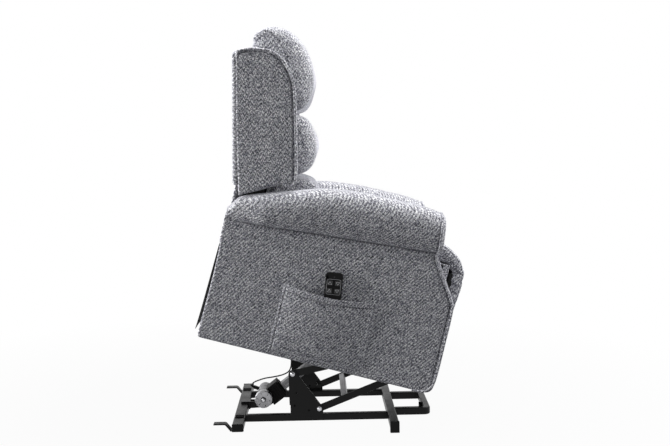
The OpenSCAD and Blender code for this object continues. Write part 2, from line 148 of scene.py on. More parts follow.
def yarn_group():
    """Shade and height of tweed. Pitch is a nub's size, the lines rise Steep cells for each cell across,
    and Turns is how far one cell carries their sine."""
    tree, given, out = effect(
        "yarn",
        {"Pitch": 0.003, "Contrast": 1.0, "Tilt": 0.0, "Column": 3.0, "Steep": 1.6, "Turns": 1.1,
         "Twill": 0.28, "Jitter": 2.5},
        ("Shade", "Height"),
    )
    place, per_metre = per_cell(tree, given["Pitch"])
    laid = node(tree, "VectorRotate", {"Vector": place, "Angle": given["Tilt"]}, rotation_type="Y_AXIS")
    cells = node(tree, "VectorMath", {0: laid.outputs[0], "Scale": per_metre}, operation="SCALE").outputs[0]
    nub = node(tree, "TexVoronoi", {"Vector": cells, "Scale": 1.0, "Randomness": 0.9}).outputs
    chance = node(tree, "SeparateColor", {0: nub["Color"]}).outputs
    axes = node(tree, "SeparateXYZ", {0: cells}).outputs
    across = maths(tree, "ADD", maths(tree, "ADD", axes["X"], axes["Y"]), FIRST_COLUMN)
    column = maths(tree, "PINGPONG", across, given["Column"])
    slope = maths(tree, "MULTIPLY_ADD", column, given["Steep"], axes["Z"])
    jitter = maths(tree, "MULTIPLY", chance[1], given["Jitter"])
    twill = maths(tree, "SINE", maths(tree, "MULTIPLY_ADD", slope, given["Turns"], jitter))
    shade = maths(tree, "SUBTRACT", maths(tree, "MULTIPLY_ADD", twill, given["Twill"], chance[0]), 0.5)
    tree.links.new(maths(tree, "MULTIPLY_ADD", shade, given["Contrast"], 0.5, clamp=True), out["Shade"])
    dome = maths(tree, "MULTIPLY", nub["Distance"], nub["Distance"])
    tree.links.new(maths(tree, "SUBTRACT", 1.0, dome), out["Height"])
    return tree


# %% Skin and wear groups
def skin_group():
    """Fine pimples of a coated or moulded surface."""
    tree, given, out = effect("skin", {"Size": 0.001}, ["Height"])
    place, per_metre = per_cell(tree, given["Size"])
    grain = node(tree, "TexNoise", {"Vector": place, "Scale": per_metre, "Detail": 3.0, "Roughness": 0.6})
    tree.links.new(grain.outputs["Fac"], out["Height"])
    return tree


def wear_group():
    """Patches of handling and dust: two noises, the finer one seen only where the broad one is high."""
    tree, given, out = effect("wear", {"Size": 0.05, "Amount": 0.5}, ("Mask", "Rough"))
    place, per_metre = per_cell(tree, given["Size"])
    broad = node(tree, "TexNoise", {"Vector": place, "Scale": per_metre, "Detail": 4.0, "Roughness": 0.65})
    fine = node(tree, "TexNoise", {"Vector": place, "Scale": 900.0, "Detail": 2.0})
    patches, specks = (
        node(tree, "MapRange", {"Value": noise.outputs["Fac"], "From Min": low, "From Max": high}).outputs[0]
        for noise, low, high in ((broad, 0.48, 0.7), (fine, 0.5, 0.68))
    )
    both = maths(tree, "MULTIPLY", patches, specks)
    tree.links.new(maths(tree, "MULTIPLY", both, given["Amount"], clamp=True), out["Mask"])
    tree.links.new(broad.outputs["Fac"], out["Rough"])
    return tree


yarn, skin_effect, wear_effect = yarn_group(), skin_group(), wear_group()
print("shared effects:", [g.name for g in bpy.data.node_groups])


# %% [markdown]
# ## Finishes
# Each finish places the shared effects and feeds them to one Principled shader. Sheen lifts the
# cloth where it turns away from the eye, as loose fibres do. Black powder coat is nearly black
# face-on and picks up its surroundings at a low angle, so a moderate roughness does that work.

# %% Material helpers
def new_material(name, **plain):
    """A material with its Principled shader set to plain values; gives the material, tree and shader."""
    material = bpy.data.materials.new(name)
    material.use_nodes = True
    tree = material.node_tree
    shader = tree.nodes["Principled BSDF"]
    for key, value in plain.items():
        shader.inputs[key.replace("_", " ")].default_value = value
    return material, tree, shader


def placed(tree, group, sockets):
    """A shared effect placed in a material with its own values."""
    made = tree.nodes.new("ShaderNodeGroup")
    made.node_tree = group
    for key, value in sockets.items():
        made.inputs[key].default_value = value
    return made.outputs


def mixed(tree, mask, low, high):
    """Colour that runs from low to high with the mask."""
    return node(tree, "MixRGB", {"Fac": mask, "Color1": low, "Color2": high}).outputs[0]


def bumped(tree, shader, height, depth):
    """Feeds a height, in metres at 1, to the shader's normal."""
    bump = node(tree, "Bump", {"Height": height, "Distance": depth, "Strength": 1.0})
    tree.links.new(bump.outputs[0], shader.inputs["Normal"])


# %% Cloth finishes
TONES = (grey(0.045, 1.17), grey(0.305, 1.17), (1, 1, 1, 1))  # dark, middle and pale yarn


def tweed_material(name, **weave):
    """The cover's cloth: nubs from black to white, with the middle tone at half the shade."""
    material, tree, shader = new_material(
        name, Roughness=0.92, Sheen_Weight=0.8, Sheen_Roughness=0.5, Specular_IOR_Level=0.15,
        Sheen_Tint=(0.93, 0.93, 1.0, 1),
    )
    cloth = placed(tree, yarn, {"Pitch": 0.0026, "Contrast": 1.02, **weave})
    ramp = node(tree, "ValToRGB", {"Fac": cloth["Shade"]})
    ramp.color_ramp.elements.new(0.5)
    for stop, tone in zip(ramp.color_ramp.elements, TONES):
        stop.color = tone
    tree.links.new(ramp.outputs[0], shader.inputs["Base Color"])
    bumped(tree, shader, cloth["Height"], 0.00012)
    return material


def black_cloth_material(name, pitch, low, high):
    """Plain black cloth whose nubs run between two greys."""
    material, tree, shader = new_material(name, Roughness=0.85, Sheen_Weight=0.1, Specular_IOR_Level=0.25)
    cloth = placed(tree, yarn, {"Pitch": pitch, "Contrast": 1.0})
    tree.links.new(mixed(tree, cloth["Shade"], grey(low), grey(high)), shader.inputs["Base Color"])
    bumped(tree, shader, cloth["Height"], pitch * 0.3)
    return material


TILT = math.radians(15.2)
tweed = tweed_material("tweed")
tweed_seat = tweed_material(
    "tweed_seat", Tilt=-TILT, Column=4000.0, Steep=-1.4, Turns=1.05, Twill=0.26, Jitter=2.8
)
lining = black_cloth_material("lining", 0.0011, 0.006, 0.022)
webbing = black_cloth_material("webbing", 0.0024, 0.008, 0.035)


# %% Hard finishes
def hard_material(name, low, high, roughness, skin, depth, metallic=0.0, wear=0.05, amount=0.5, **plain):
    """A hard finish: two greys mixed by wear, roughness that varies with it, and a fine skin."""
    material, tree, shader = new_material(name, Metallic=metallic, **plain)
    marks = placed(tree, wear_effect, {"Size": wear, "Amount": amount})
    tree.links.new(mixed(tree, marks["Mask"], grey(low), grey(high)), shader.inputs["Base Color"])
    spread = {"From Min": 0.3, "From Max": 0.7, "To Min": roughness - 0.06, "To Max": roughness + 0.08}
    rough = node(tree, "MapRange", {"Value": marks["Rough"], **spread})
    tree.links.new(rough.outputs[0], shader.inputs["Roughness"])
    bumped(tree, shader, placed(tree, skin_effect, {"Size": skin})["Height"], depth)
    return material


powder = hard_material(
    "powder_coat", 0.005, 0.014, 0.34, 0.0016, 0.00008, amount=0.6, Specular_IOR_Level=0.16
)
satin = hard_material("satin_grey", 0.22, 0.32, 0.42, 0.0009, 0.00004, metallic=0.85)
cast = hard_material("cast_alloy", 0.42, 0.60, 0.40, 0.0012, 0.00008, metallic=0.9, wear=0.012)
plated = hard_material("zinc_plate", 0.62, 0.50, 0.30, 0.0025, 0.00003, metallic=1.0, wear=0.02)
moulded = hard_material("black_moulded", 0.005, 0.013, 0.5, 0.0008, 0.0001, Specular_IOR_Level=0.12)
# Rubber is near black with little gloss; in the towers' spare holes that black is painted shade.
rubber = hard_material("rubber", 0.003, 0.009, 0.85, 0.0012, 0.00012, amount=0.6, Specular_IOR_Level=0.05)
key_top = hard_material("key_top", 0.012, 0.022, 0.5, 0.0006, 0.00005, wear=0.01)
legend = hard_material("key_legend", 0.42, 0.48, 0.5, 0.0006, 0.00003, wear=0.01)


# %% [markdown]
# The rails and boards inside are raw softwood. Growth rings are nested shells round the tree, so a
# wave texture in rings, stretched along the board and bent by noise, draws its long grain lines.

# %% Wood finish
def wood_material():
    """Softwood: two browns mixed by fibres, and a third where the rings lie."""
    material, tree, shader = new_material("softwood", Roughness=0.7, Specular_IOR_Level=0.3)
    place = node(tree, "TexCoord").outputs["Object"]
    along = node(tree, "Mapping", {"Vector": place, "Scale": (14.0, 1.2, 9.0)}).outputs[0]
    bent = {"Vector": along, "Scale": 1.6, "Distortion": 3.5, "Detail": 3.0}
    rings = node(tree, "TexWave", bent, wave_type="RINGS").outputs["Fac"]
    fibre = node(tree, "TexNoise", {"Vector": along, "Scale": 40.0, "Detail": 4.0}).outputs["Fac"]
    dark = mixed(tree, fibre, (0.50, 0.34, 0.18, 1), (0.62, 0.45, 0.26, 1))
    tree.links.new(mixed(tree, rings, dark, (0.68, 0.52, 0.33, 1)), shader.inputs["Base Color"])
    bumped(tree, shader, fibre, 0.0002)
    return material


softwood = wood_material()
# Each finish has its slot in the record. Where two share one, the first is the slot's usual finish.
SLOT = {
    tweed: "upholstery", tweed_seat: "upholstery", lining: "black_cloth", powder: "black_steel",
    satin: "grey_metal", plated: "zinc", cast: "zinc", softwood: "wood", moulded: "black_plastic",
    rubber: "rubber", key_top: "keys", legend: "keys",
}
print("finishes:", [finish.name for finish in SLOT])

# %% [markdown]
# ## Shapes from arrays
# Nearly every new surface is a grid of points: rows carried along something, and columns round
# it. The helpers below turn such a grid into faces, close its ends with a pole, and collect
# several shells in one piece. All points are in metres, in the frame's own axes.

# %% Shell and piece helpers
def shell(rows, closed=True, poles=True):
    """Points and faces of a grid (m, n, 3): quads between neighbours, joined round where closed, with a
    middle point at each end where poles."""
    rows = np.asarray(rows, float)
    m, n = rows.shape[:2]
    index = np.arange(m * n).reshape(m, n)
    here, there = (index, np.roll(index, -1, 1)) if closed else (index[:, :-1], index[:, 1:])
    faces = np.stack([here[:-1], there[:-1], there[1:], here[1:]], -1).reshape(-1, 4).tolist()
    points = rows.reshape(-1, 3)
    if poles:
        points = np.vstack([points, rows[0].mean(0), rows[-1].mean(0)])
        faces += np.stack([there[0], here[0], np.full(n, m * n)], -1).tolist()
        faces += np.stack([here[-1], there[-1], np.full(n, m * n + 1)], -1).tolist()
    return points, faces


def looped(rows):
    """Points and faces of a closed grid whose last row joins its first."""
    points, faces = shell(rows, poles=False)
    m, n = rows.shape[:2]
    ring = np.arange(n)
    last, following = (m - 1) * n, np.roll(ring, -1)
    return points, faces + np.stack([last + ring, last + following, following, ring], -1).tolist()


def mesh_from(name, shells, smooth):
    """One mesh from several shells, faces outwards, with edges sharper than the angle kept crisp."""
    points, faces, base = [], [], 0
    for p, f in shells:
        points.append(p)
        faces += [[base + k for k in face] for face in f]
        base += len(p)
    mesh = bpy.data.meshes.new(name)
    mesh.from_pydata(np.vstack(points).tolist(), [], faces)
    work = bmesh.new()
    work.from_mesh(mesh)
    bmesh.ops.recalc_face_normals(work, faces=work.faces)
    work.to_mesh(mesh)
    work.free()
    mesh.shade_smooth()
    if smooth < 180:
        mesh.set_sharp_from_angle(angle=math.radians(smooth))
    return mesh


def piece(name, form, finish, body=None, replaces=(), slot=None, smooth=35):
    """An object at the origin, from a mesh or a list of shells, with its finish; it rides on a body where
    one is given. Its slot argument is not used."""
    mesh = form if isinstance(form, bpy.types.Mesh) else mesh_from(name, form, smooth)
    made = bpy.data.objects.new(name, mesh)
    bpy.context.scene.collection.objects.link(made)
    mesh.materials.clear()
    mesh.materials.append(finish)
    if body:
        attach(made, body)
    if replaces:
        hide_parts(*replaces)
    return made


# %% Curve helpers
def flowing(points, count, closed=True):
    """A smooth curve through the points, cut at equal steps of its length. Each stretch is a cubic with a
    given slope at its two ends: the step between the point's two neighbours over the way there, so that a
    long straight stretch doesn't throw a short curve beside it wide."""
    p = np.asarray(points, float)
    if closed:
        a, b, c, d = (np.roll(p, k, 0) for k in (1, 0, -1, -2))
    else:
        q = np.vstack([2 * p[0] - p[1], p, 2 * p[-1] - p[-2]])
        a, b, c, d = q[:-3], q[1:-2], q[2:-1], q[3:]
    t = np.linspace(0, 1, 16, endpoint=False)[None, :, None]
    a, b, c, d = (v[:, None] for v in (a, b, c, d))
    before, here, after = (np.linalg.norm(v, axis=2, keepdims=True) for v in (b - a, c - b, d - c))
    leave, arrive = (c - a) / (before + here) * here, (d - b) / (here + after) * here
    q = (2 * t**3 - 3 * t**2 + 1) * b + (t**3 - 2 * t**2 + t) * leave
    q = q + (3 * t**2 - 2 * t**3) * c + (t**3 - t**2) * arrive
    q = q.reshape(-1, p.shape[1])
    return even(q if closed else np.vstack([q, p[-1:]]), count, closed)


def stretches(line):
    """Lengths between the neighbouring points of a line."""
    return np.linalg.norm(np.diff(line, axis=0), axis=1)


def even(line, count, closed=False):
    """A polyline cut again at equal steps of its length."""
    line = np.vstack([line, line[:1]]) if closed else line
    along = np.concatenate([[0], np.cumsum(stretches(line))])
    at = np.linspace(0, along[-1], count, endpoint=not closed)
    return np.stack([np.interp(at, along, line[:, k]) for k in range(line.shape[1])], -1)


def index_near(line, point):
    """Which point of a line is nearest to the given one."""
    return int(np.argmin(np.linalg.norm(line - np.array(point), axis=1)))


def cornered(corners, count):
    """A closed polygon (x, y, cut) whose corners are rounded: each is a parabola that starts and ends
    the cut's length from the corner."""
    p = np.asarray([c[:2] for c in corners], float)
    cut = np.asarray([c[2] for c in corners], float)[:, None]
    before, after = np.roll(p, 1, 0) - p, np.roll(p, -1, 0) - p
    s = p + before / np.linalg.norm(before, axis=1)[:, None] * cut
    e = p + after / np.linalg.norm(after, axis=1)[:, None] * cut
    t = np.linspace(0, 1, 9)[None, :, None]
    line = (1 - t) ** 2 * s[:, None] + 2 * t * (1 - t) * p[:, None] + t**2 * e[:, None]
    return even(line.reshape(-1, 2), count, closed=True)


def rectangle(low, high, cut, count, top_cut=None):
    """A closed rectangle between two points, with rounded corners; the upper two may have their own cut."""
    (x0, z0), (x1, z1), top = low, high, top_cut or cut
    return cornered([(x0, z0, cut), (x1, z0, cut), (x1, z1, top), (x0, z1, top)], count)


def inward(outline):
    """Unit vectors that point into a closed plane outline, square to it."""
    step = np.roll(outline, -1, 0) - np.roll(outline, 1, 0)
    turn = np.stack([-step[:, 1], step[:, 0]], -1) / np.linalg.norm(step, axis=1)[:, None]
    x, y = outline.T
    area = np.sum(x * np.roll(y, -1) - np.roll(x, -1) * y)
    return turn * np.sign(area)


def inset(outline, distance):
    """A closed plane outline moved in by a distance. At a corner tighter than that the moved points
    cross over; they lie nearer the outline than they should, and are laid between their neighbours."""
    if distance <= 0:
        return outline
    moved = outline + inward(outline) * distance
    gap = np.sqrt(((moved[:, None] - outline[None]) ** 2).sum(-1).min(1))
    good, n = np.where(gap > 0.97 * distance)[0], len(outline)
    index = np.concatenate([good - n, good, good + n])
    return np.stack([np.interp(np.arange(n), index, np.tile(moved[good, k], 3)) for k in (0, 1)], -1)


def smoothstep(t):
    """0 before 0, 1 after 1, and an S-shaped cubic between."""
    t = np.clip(t, 0, 1)
    return t * t * (3 - 2 * t)


def tube(path, radius, side=(0, 1, 0), sides=12, closed=False):
    """A round tube along a path. The side vector must not lie along the path: crossed with the
    direction of travel it gives the first radius, and crossed again the second."""
    path = np.asarray(path, float)
    step = np.roll(path, -1, 0) - np.roll(path, 1, 0) if closed else np.gradient(path, axis=0)
    step /= np.linalg.norm(step, axis=1)[:, None]
    first = np.cross(np.asarray(side, float), step)
    first /= np.linalg.norm(first, axis=1)[:, None]
    second = np.cross(step, first)
    turn = np.linspace(0, 2 * math.pi, sides, endpoint=False)[None, :, None]
    radius = np.broadcast_to(np.asarray(radius, float), len(path))[:, None, None]
    rows = path[:, None] + radius * (np.cos(turn) * first[:, None] + np.sin(turn) * second[:, None])
    return looped(rows) if closed else shell(rows)


def turned(profile, centre, axis=(0, 1, 0), sides=64):
    """A turned solid: a profile of (radius, distance along the axis), spun about the axis."""
    axis = np.asarray(axis, float)
    axis /= np.linalg.norm(axis)
    first = np.cross(axis, (0, 0, 1.0) if abs(axis[2]) < 0.9 else (1.0, 0, 0))
    first /= np.linalg.norm(first)
    second = np.cross(axis, first)
    turn = np.linspace(0, 2 * math.pi, sides, endpoint=False)[None, :, None]
    r, h = np.asarray(profile, float).T
    ring = np.cos(turn) * first + np.sin(turn) * second
    return shell(np.asarray(centre) + h[:, None, None] * axis + r[:, None, None] * ring)


# %% [markdown]
# ## The seat frame's own axes
# Standing up, the whole seat is tipped forward about its linkage. Its parts are easier to draw
# level, with X from the rear edge of the side and Z from its bottom edge, and then turned with it.

# %% Seat frame
REAR_CORNER = (-110 * MM, 352.5 * MM)
FORWARD, UPRIGHT = (math.cos(TILT), -math.sin(TILT)), (math.sin(TILT), math.cos(TILT))


def seated(points):
    """Points drawn level in the seat frame, moved to where the tipped seat holds them."""
    p = np.asarray(points, float)
    x, y, z = p[..., 0], p[..., 1], p[..., 2]
    along, height = (REAR_CORNER[k] + FORWARD[k] * x + UPRIGHT[k] * z for k in (0, 1))
    return np.stack([along, y, height], -1)


# %% [markdown]
# ## Wrapped panels
# The sides, wings, outside back and legrest are boards under a thin pad, wrapped in cloth. Such a
# panel is its outline drawn at many insets: from the middle of the show face out to the rounded
# edge, over the edge, and back to the middle of the other face. A shallow dip just inside the
# edge is where a piping cord pulls the cloth down.

# %% Panel surface
def panel(outline, thick, edge, crown=0.0, dip=0.0, dip_at=0.012, rings=14, waves=0.0):
    """Rows (m, n, 3) of a wrapped panel: two coordinates in its plane, then depth from the show face.
    The crown falls off with the square of the distance from the middle, the dip is a bell-shaped groove
    at its own distance from the edge, the waves are a product of two sines that dies out at the edge, and
    the edge is a quarter circle on both faces."""
    centre, n = outline.mean(0), len(outline)
    dip_width, past_dip = 0.0035, 0.008
    margin = max(edge, dip_at + past_dip if np.any(dip) else edge)
    inner, rim = inset(outline, margin), inset(outline, edge)
    rows = []
    flats = [centre + (inner - centre) * share for share in np.linspace(0.02, 1, rings) ** 0.8]
    flats += [inner + (rim - inner) * share for share in np.linspace(0, 1, 9)[1:]] if margin > edge else []
    for flat in flats:
        gap = np.minimum(np.linalg.norm(flat - outline, axis=1), 1.0)
        share = np.linalg.norm(flat - centre, axis=1) / np.linalg.norm(outline - centre, axis=1)
        depth = -crown * (1 - share**2) + dip * np.exp(-(((gap - dip_at) / dip_width) ** 2))
        depth = depth + waves * np.sin(flat[:, 0] * 47 + 1.3) * np.sin(flat[:, 1] * 39 + 0.4) * (1 - share**4)
        rows.append(np.column_stack([flat, depth]))
    turns = np.radians(np.linspace(12, 90, 6))
    bend = [(outline + (rim - outline) * (1 - math.sin(a)), edge * (1 - math.cos(a))) for a in turns]
    flats = bend + [(flat, thick - depth) for flat, depth in bend[::-1]]
    flats += [(centre + (rim - centre) * share, thick) for share in np.linspace(1, 0.02, 6)]
    return np.array(rows + [np.column_stack([flat, np.full(n, depth)]) for flat, depth in flats])


def block(low, high, edge):
    """Rows of a box with rounded edges between two corners, drawn as a panel in X-Z with its depth
    along Y."""
    (x0, y0, z0), (x1, y1, z1) = low, high
    rows = panel(rectangle((x0, z0), (x1, z1), edge, 96), y1 - y0, edge, rings=5)
    return np.stack([rows[..., 0], y0 + rows[..., 2], rows[..., 1]], -1)


def upright(line, face_y, sign):
    """A plane line stood up in X-Z at a distance from the middle plane."""
    return np.column_stack([line[:, 0], np.full(len(line), sign * face_y), line[:, 1]])


def side_on(rows, face_y, sign):
    """Panel rows stood up in X-Z, with the show face at face_y on the right (-1) or left (+1)."""
    return np.stack([rows[..., 0], sign * (face_y - rows[..., 2]), rows[..., 1]], -1)


# %% [markdown]
# ## The motor's lead
# One thin lead runs from a plug on the lift motor, over to the pivot tower, and up into the
# control box under the seat. It crosses two moving parts, so it is two lengths that meet at the
# pivot, where nothing moves; both stay where they are drawn, on no body. A short tapered sleeve
# keeps it from kinking at the plug.

# %% Lead
LEAD_R = 0.0025
lead_line = flowing(
    np.array([(36.3, 50, 80.2), (32, 47, 84), (32, 36, 94), (39, 22, 104), (54, 10, 113), (81, 2, 123),
              (118, 0, 129), (146, 0, 135), (163, 0, 142), (174, 0, 151), (181, 0, 170), (182, 0, 210),
              (178, 0, 280), (169, 0, 350), (164, 0, 384)]) * MM,
    81, closed=False,
)
meet = index_near(lead_line, [0.181, 0, 0.170])
for name, line, bodies in (
    ("lead_lower", lead_line[: meet + 1], ("lift_drive", "base")),
    ("lead_upper", lead_line[meet:], ("upper_links", "chair")),
):
    made = piece(name, [tube(line, LEAD_R)], moulded, replaces=["lift_lead"], smooth=180)
    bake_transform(made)
bore = LEAD_R + 0.0001
taper = [(bore, 0.0), (0.0052, 0.0), (0.0052, 0.002), (0.0046, 0.003), (0.0046, 0.005), (0.0041, 0.006),
         (0.0041, 0.008), (0.0036, 0.009), (0.0036, 0.011), (0.003, 0.012), (bore, 0.016)]
sleeve = turned(taper, lead_line[0], axis=lead_line[1] - lead_line[0], sides=24)
piece("lead_sleeve", [sleeve], moulded, "lift_drive")

# %% [markdown]
# ## The sides
# Each side is one cut of cloth over a hollow box. Its front edge is cut away below the arm, and a
# piping cord runs along that cut and down the front. The show face is a panel whose shallow waves
# are what a staple gun leaves in a wide stretch of cloth.

# %% Side panels
SIDE_FACE, SIDE_INNER = 375 * MM, 255 * MM
CORD_R = 0.0042


def arm_line(x):
    """Height of the joint between side and arm, which rises towards the front."""
    return 0.4105 + (x - 0.0236) * 0.0894


side_outline = cornered(
    [(-0.0205, arm_line(-0.0205), 0.003), (-0.0198, 0.345, 0.012), (-0.0130, 0.308, 0.012),
     (-0.0118, 0.20, 0.03), (-0.0152, 0.035, 0.01), (-0.0150, 0.0, 0.012), (0.806, 0.0, 0.034),
     (0.8015, 0.318, 0.014), (0.701, arm_line(0.701), 0.003)],
    420,
)
front_edge = flowing(
    [(0.735, 0.0004), (0.772, 0.003), (0.7975, 0.026), (0.8035, 0.06), (0.8025, 0.18), (0.7995, 0.290),
     (0.7925, 0.318), (0.7625, 0.364), (0.738, 0.397), (0.711, 0.438), (0.7025, 0.456), (0.6985, 0.468)],
    160, closed=False,
)
x, z = side_outline.T
beside_cord = smoothstep((x - 0.690) / 0.012) * smoothstep((z - 0.004) / 0.02)
side_panel = panel(
    side_outline, SIDE_FACE - SIDE_INNER, 0.006, dip=0.0075 * beside_cord, dip_at=0.0125,
    waves=0.0006, rings=30,
)
HANDS = ((-1, "r"), (1, "l"))
for sign, hand in HANDS:
    rows = seated(side_on(side_panel, SIDE_FACE, sign))
    made = piece("side_cover_" + hand, [shell(rows)], tweed_seat, "chair", ["side_box_" + hand])
    cord = seated(upright(front_edge, SIDE_FACE - 0.0005, sign))
    piece("side_piping_" + hand, [tube(cord, CORD_R)], tweed_seat, "chair")
print("sides:", len(side_outline), "points round each")

# %% [markdown]
# ## The rolled arms
# An arm is a section carried from back to front. The section is a rounded square, flat below where
# it sits on the side box; towards the front it swells over the side, so its lower edge throws the
# line of shadow along the chair. Long shallow waves keep the cloth from looking turned on a lathe.

# %% Arms
ARM_Y, ARM_HALF = 0.3275, 0.0725
ARM_REAR, ARM_FRONT, GROOVE_AT, PIPED_AT = -0.0205, 0.7185, 0.6995, 0.7050
crown_line = flowing(
    np.array([(-17, 456), (10, 492), (60, 514), (125, 538), (191, 560), (265, 586), (366, 603), (469, 611),
              (609, 613), (685, 608), (718, 603)]) * MM,
    200, closed=False,
)


def arm_rows(stations, turns=128):
    """Arm sections at the stations: y and z follow a rounded square, whose corners are powers of cosine
    and sine; shrink draws in the two ends, and the overhang grows over the first 150 mm. The lower
    half starts almost square at the rear, where it lies flush on the side, and rounds off from there."""
    x = stations[:, None]
    a = np.linspace(0, 2 * math.pi, turns, endpoint=False)[None]
    rear = smoothstep((x + 0.021) / 0.075)
    shrink = np.minimum(1, 0.86 + 0.14 * np.clip((x - ARM_REAR) / 0.022, 0, 1) ** 0.5)
    tip = np.minimum(1, 0.86 + 0.14 * np.clip((ARM_FRONT - x) / 0.014, 0, 1) ** 0.45)
    shrink = shrink * tip
    low, high = arm_line(x), np.interp(x, crown_line[:, 0], crown_line[:, 1])
    middle = (low + high) / 2 - 0.006
    wide = np.sign(np.cos(a)) * np.abs(np.cos(a)) ** np.where(np.sin(a) < 0, 0.16 + 0.56 * rear, 0.72)
    tall = np.sign(np.sin(a)) * np.abs(np.sin(a)) ** 0.8
    reach = ARM_HALF - 0.0245 * (1 - smoothstep((x + 0.017) / 0.15)) * (wide > 0)
    puff = 0.0007 * np.sin(x * 31 + 1.0) * np.sin(2 * a + x * 9) + 0.0004 * np.sin(x * 83 + 2 * a)
    puff = puff - 0.0055 * np.exp(-(((x - GROOVE_AT) / 0.0026) ** 2))
    y = ARM_Y + (reach * np.where(np.sin(a) < 0, tip, shrink) + puff) * wide
    z = middle + (high - middle) * (1 - (1 - shrink) * 1.1) * tall + puff * tall
    z = np.maximum(z, low + 0.0030 * rear - 0.0036 * (1 - rear) + (1 - tip) * 0.06)
    lean, lean_from = np.clip((x - 0.620) / 0.085, 0, 1) * 0.13, 0.470
    return np.stack([x - lean * (z - lean_from), y, z], -1)


arm_stations = np.concatenate(
    [np.linspace(low, high, count) for low, high, count in
     ((ARM_REAR, 0.003, 14), (0.008, 0.688, 114), (0.690, 0.7184, 34))]
)
for sign, hand in HANDS:
    mirror = np.array([1, sign, 1])
    arm = shell(seated(arm_rows(arm_stations) * mirror))
    made = piece("arm_cover_" + hand, [arm], tweed_seat, "chair", ["arm_pad_" + hand], smooth=180)
    ring = seated(arm_rows(np.array([PIPED_AT]), 160)[0] * mirror)
    cord = tube(ring, CORD_R, side=(1, 0, 0), closed=True)
    piece("arm_piping_" + hand, [cord], tweed_seat, "chair", smooth=180)
print("arms:", len(arm_stations), "sections")

# %% [markdown]
# ## Cushions blown up as cloth
# A cushion starts as its outline carried across the seat, a little too small, with flat side
# panels. It is remeshed to even cells, then the Cloth modifier pushes it out with air pressure
# and no gravity, while the seam round each side panel is pinned, and no point may move more than
# the cap. The cloth swells between its seams and draws in along them, which no formula does as
# well. Afterwards each seam gets its groove, and puckers that run off square to it.

# %% Cushion form
def loaf(outline, half, edge, lean):
    """A closed outline in X-Z carried across Y: the middle keeps its size, and towards each side panel
    it draws in by a quarter circle of the edge radius, to a side panel that leans off the middle."""
    turn, across = np.radians(np.linspace(0, 90, 9)), 16
    drawn_in = np.concatenate([1 - np.sin(turn), np.zeros(across), 1 - np.sin(turn[::-1])])
    middle = np.linspace(-half + edge, half - edge, across + 2)[1:-1]
    y = np.concatenate([-half + edge * (1 - np.cos(turn)), middle, half - edge * (1 - np.cos(turn[::-1]))])
    flat = outline + drawn_in[:, None, None] * (inset(outline, edge) + np.array(lean) - outline)
    return np.stack([flat[..., 0], np.broadcast_to(y[:, None], flat.shape[:2]), flat[..., 1]], -1)


def capped(rows):
    """Points and faces of a closed grid whose two ends are single flat faces."""
    points, faces = shell(rows, poles=False)
    m, n = rows.shape[:2]
    return points, faces + [list(range(n))[::-1], list(range((m - 1) * n, m * n))]


def read(vectors, key):
    """One vector of each point as an array."""
    flat = np.empty(len(vectors) * 3, np.float32)
    vectors.foreach_get(key, flat)
    return flat.reshape(-1, 3).astype(float)


def coordinates(mesh):
    """The mesh's points as an array."""
    return read(mesh.vertices, "co")


def outward(mesh):
    """Unit normals at the mesh's points, as an array."""
    return read(mesh.vertex_normals, "vector")


def move_to(mesh, points):
    """Puts the mesh's points at new places."""
    mesh.vertices.foreach_set("co", points.astype(np.float32).ravel())
    mesh.update()


def nearest(points, line, batch=3000):
    """Distance from each point to the nearest point of a line, and that point's index."""
    gap, at = np.empty(len(points)), np.empty(len(points), int)
    for k in range(0, len(points), batch):
        d = ((points[k : k + batch, None] - line[None]) ** 2).sum(-1)
        at[k : k + batch] = d.argmin(1)
        gap[k : k + batch] = np.sqrt(d.min(1))
    return gap, at


def evaluated(holder):
    """A new mesh with the object's modifiers worked out."""
    graph = bpy.context.evaluated_depsgraph_get()
    return bpy.data.meshes.new_from_object(holder.evaluated_get(graph))


# %% Cloth under pressure
FRAMES = 20  # by then the cloth has settled


def blown(name, rows, seams, voxel, cap, pressure, relax):
    """The stuffed form of a closed grid: voxel remesh, cloth under pressure with its seams pinned, moves
    capped, one subdivision."""
    holder = bpy.data.objects.new(name, mesh_from(name, [capped(rows)], 180))
    bpy.context.scene.collection.objects.link(holder)
    remesh = holder.modifiers.new("even", "REMESH")
    remesh.mode, remesh.voxel_size = "VOXEL", voxel
    holder.data = evaluated(holder)
    holder.modifiers.clear()
    start = coordinates(holder.data)
    held = holder.vertex_groups.new(name="sewn")
    near = np.where(nearest(start, seams[::2])[0] < voxel * 0.9)[0]
    held.add(near.tolist(), 1.0, "REPLACE")
    cloth = holder.modifiers.new("cloth", "CLOTH")
    cloth.settings.quality = 4
    cloth.settings.mass = 0.4
    cloth.settings.tension_stiffness = cloth.settings.compression_stiffness = 12
    cloth.settings.bending_stiffness = 1.5
    cloth.settings.use_pressure = True
    cloth.settings.uniform_pressure_force = pressure
    cloth.settings.vertex_group_mass = "sewn"
    cloth.settings.effector_weights.gravity = 0
    cloth.collision_settings.use_collision = False
    cloth.point_cache.frame_start, cloth.point_cache.frame_end = 1, FRAMES
    for step in range(1, FRAMES + 1):
        bpy.context.scene.frame_set(step)
    worked = evaluated(holder)
    moved = coordinates(worked)
    bpy.data.meshes.remove(worked)
    holder.modifiers.clear()
    bpy.context.scene.frame_set(1)
    travel = moved - start
    length = np.linalg.norm(travel, axis=1)[:, None]
    print(f"{name}: cloth moved {length.mean() / MM:.1f} mm, at most {length.max() / MM:.1f} mm")
    moved = start + travel * np.minimum(1, cap / np.maximum(length, 1e-9))
    move_to(holder.data, moved)
    even_out = holder.modifiers.new("even_out", "SMOOTH")
    even_out.factor, even_out.iterations = 0.5, relax
    fine = holder.modifiers.new("fine", "SUBSURF")
    fine.levels = fine.render_levels = 1
    mesh = evaluated(holder)
    bpy.data.objects.remove(holder)
    return mesh


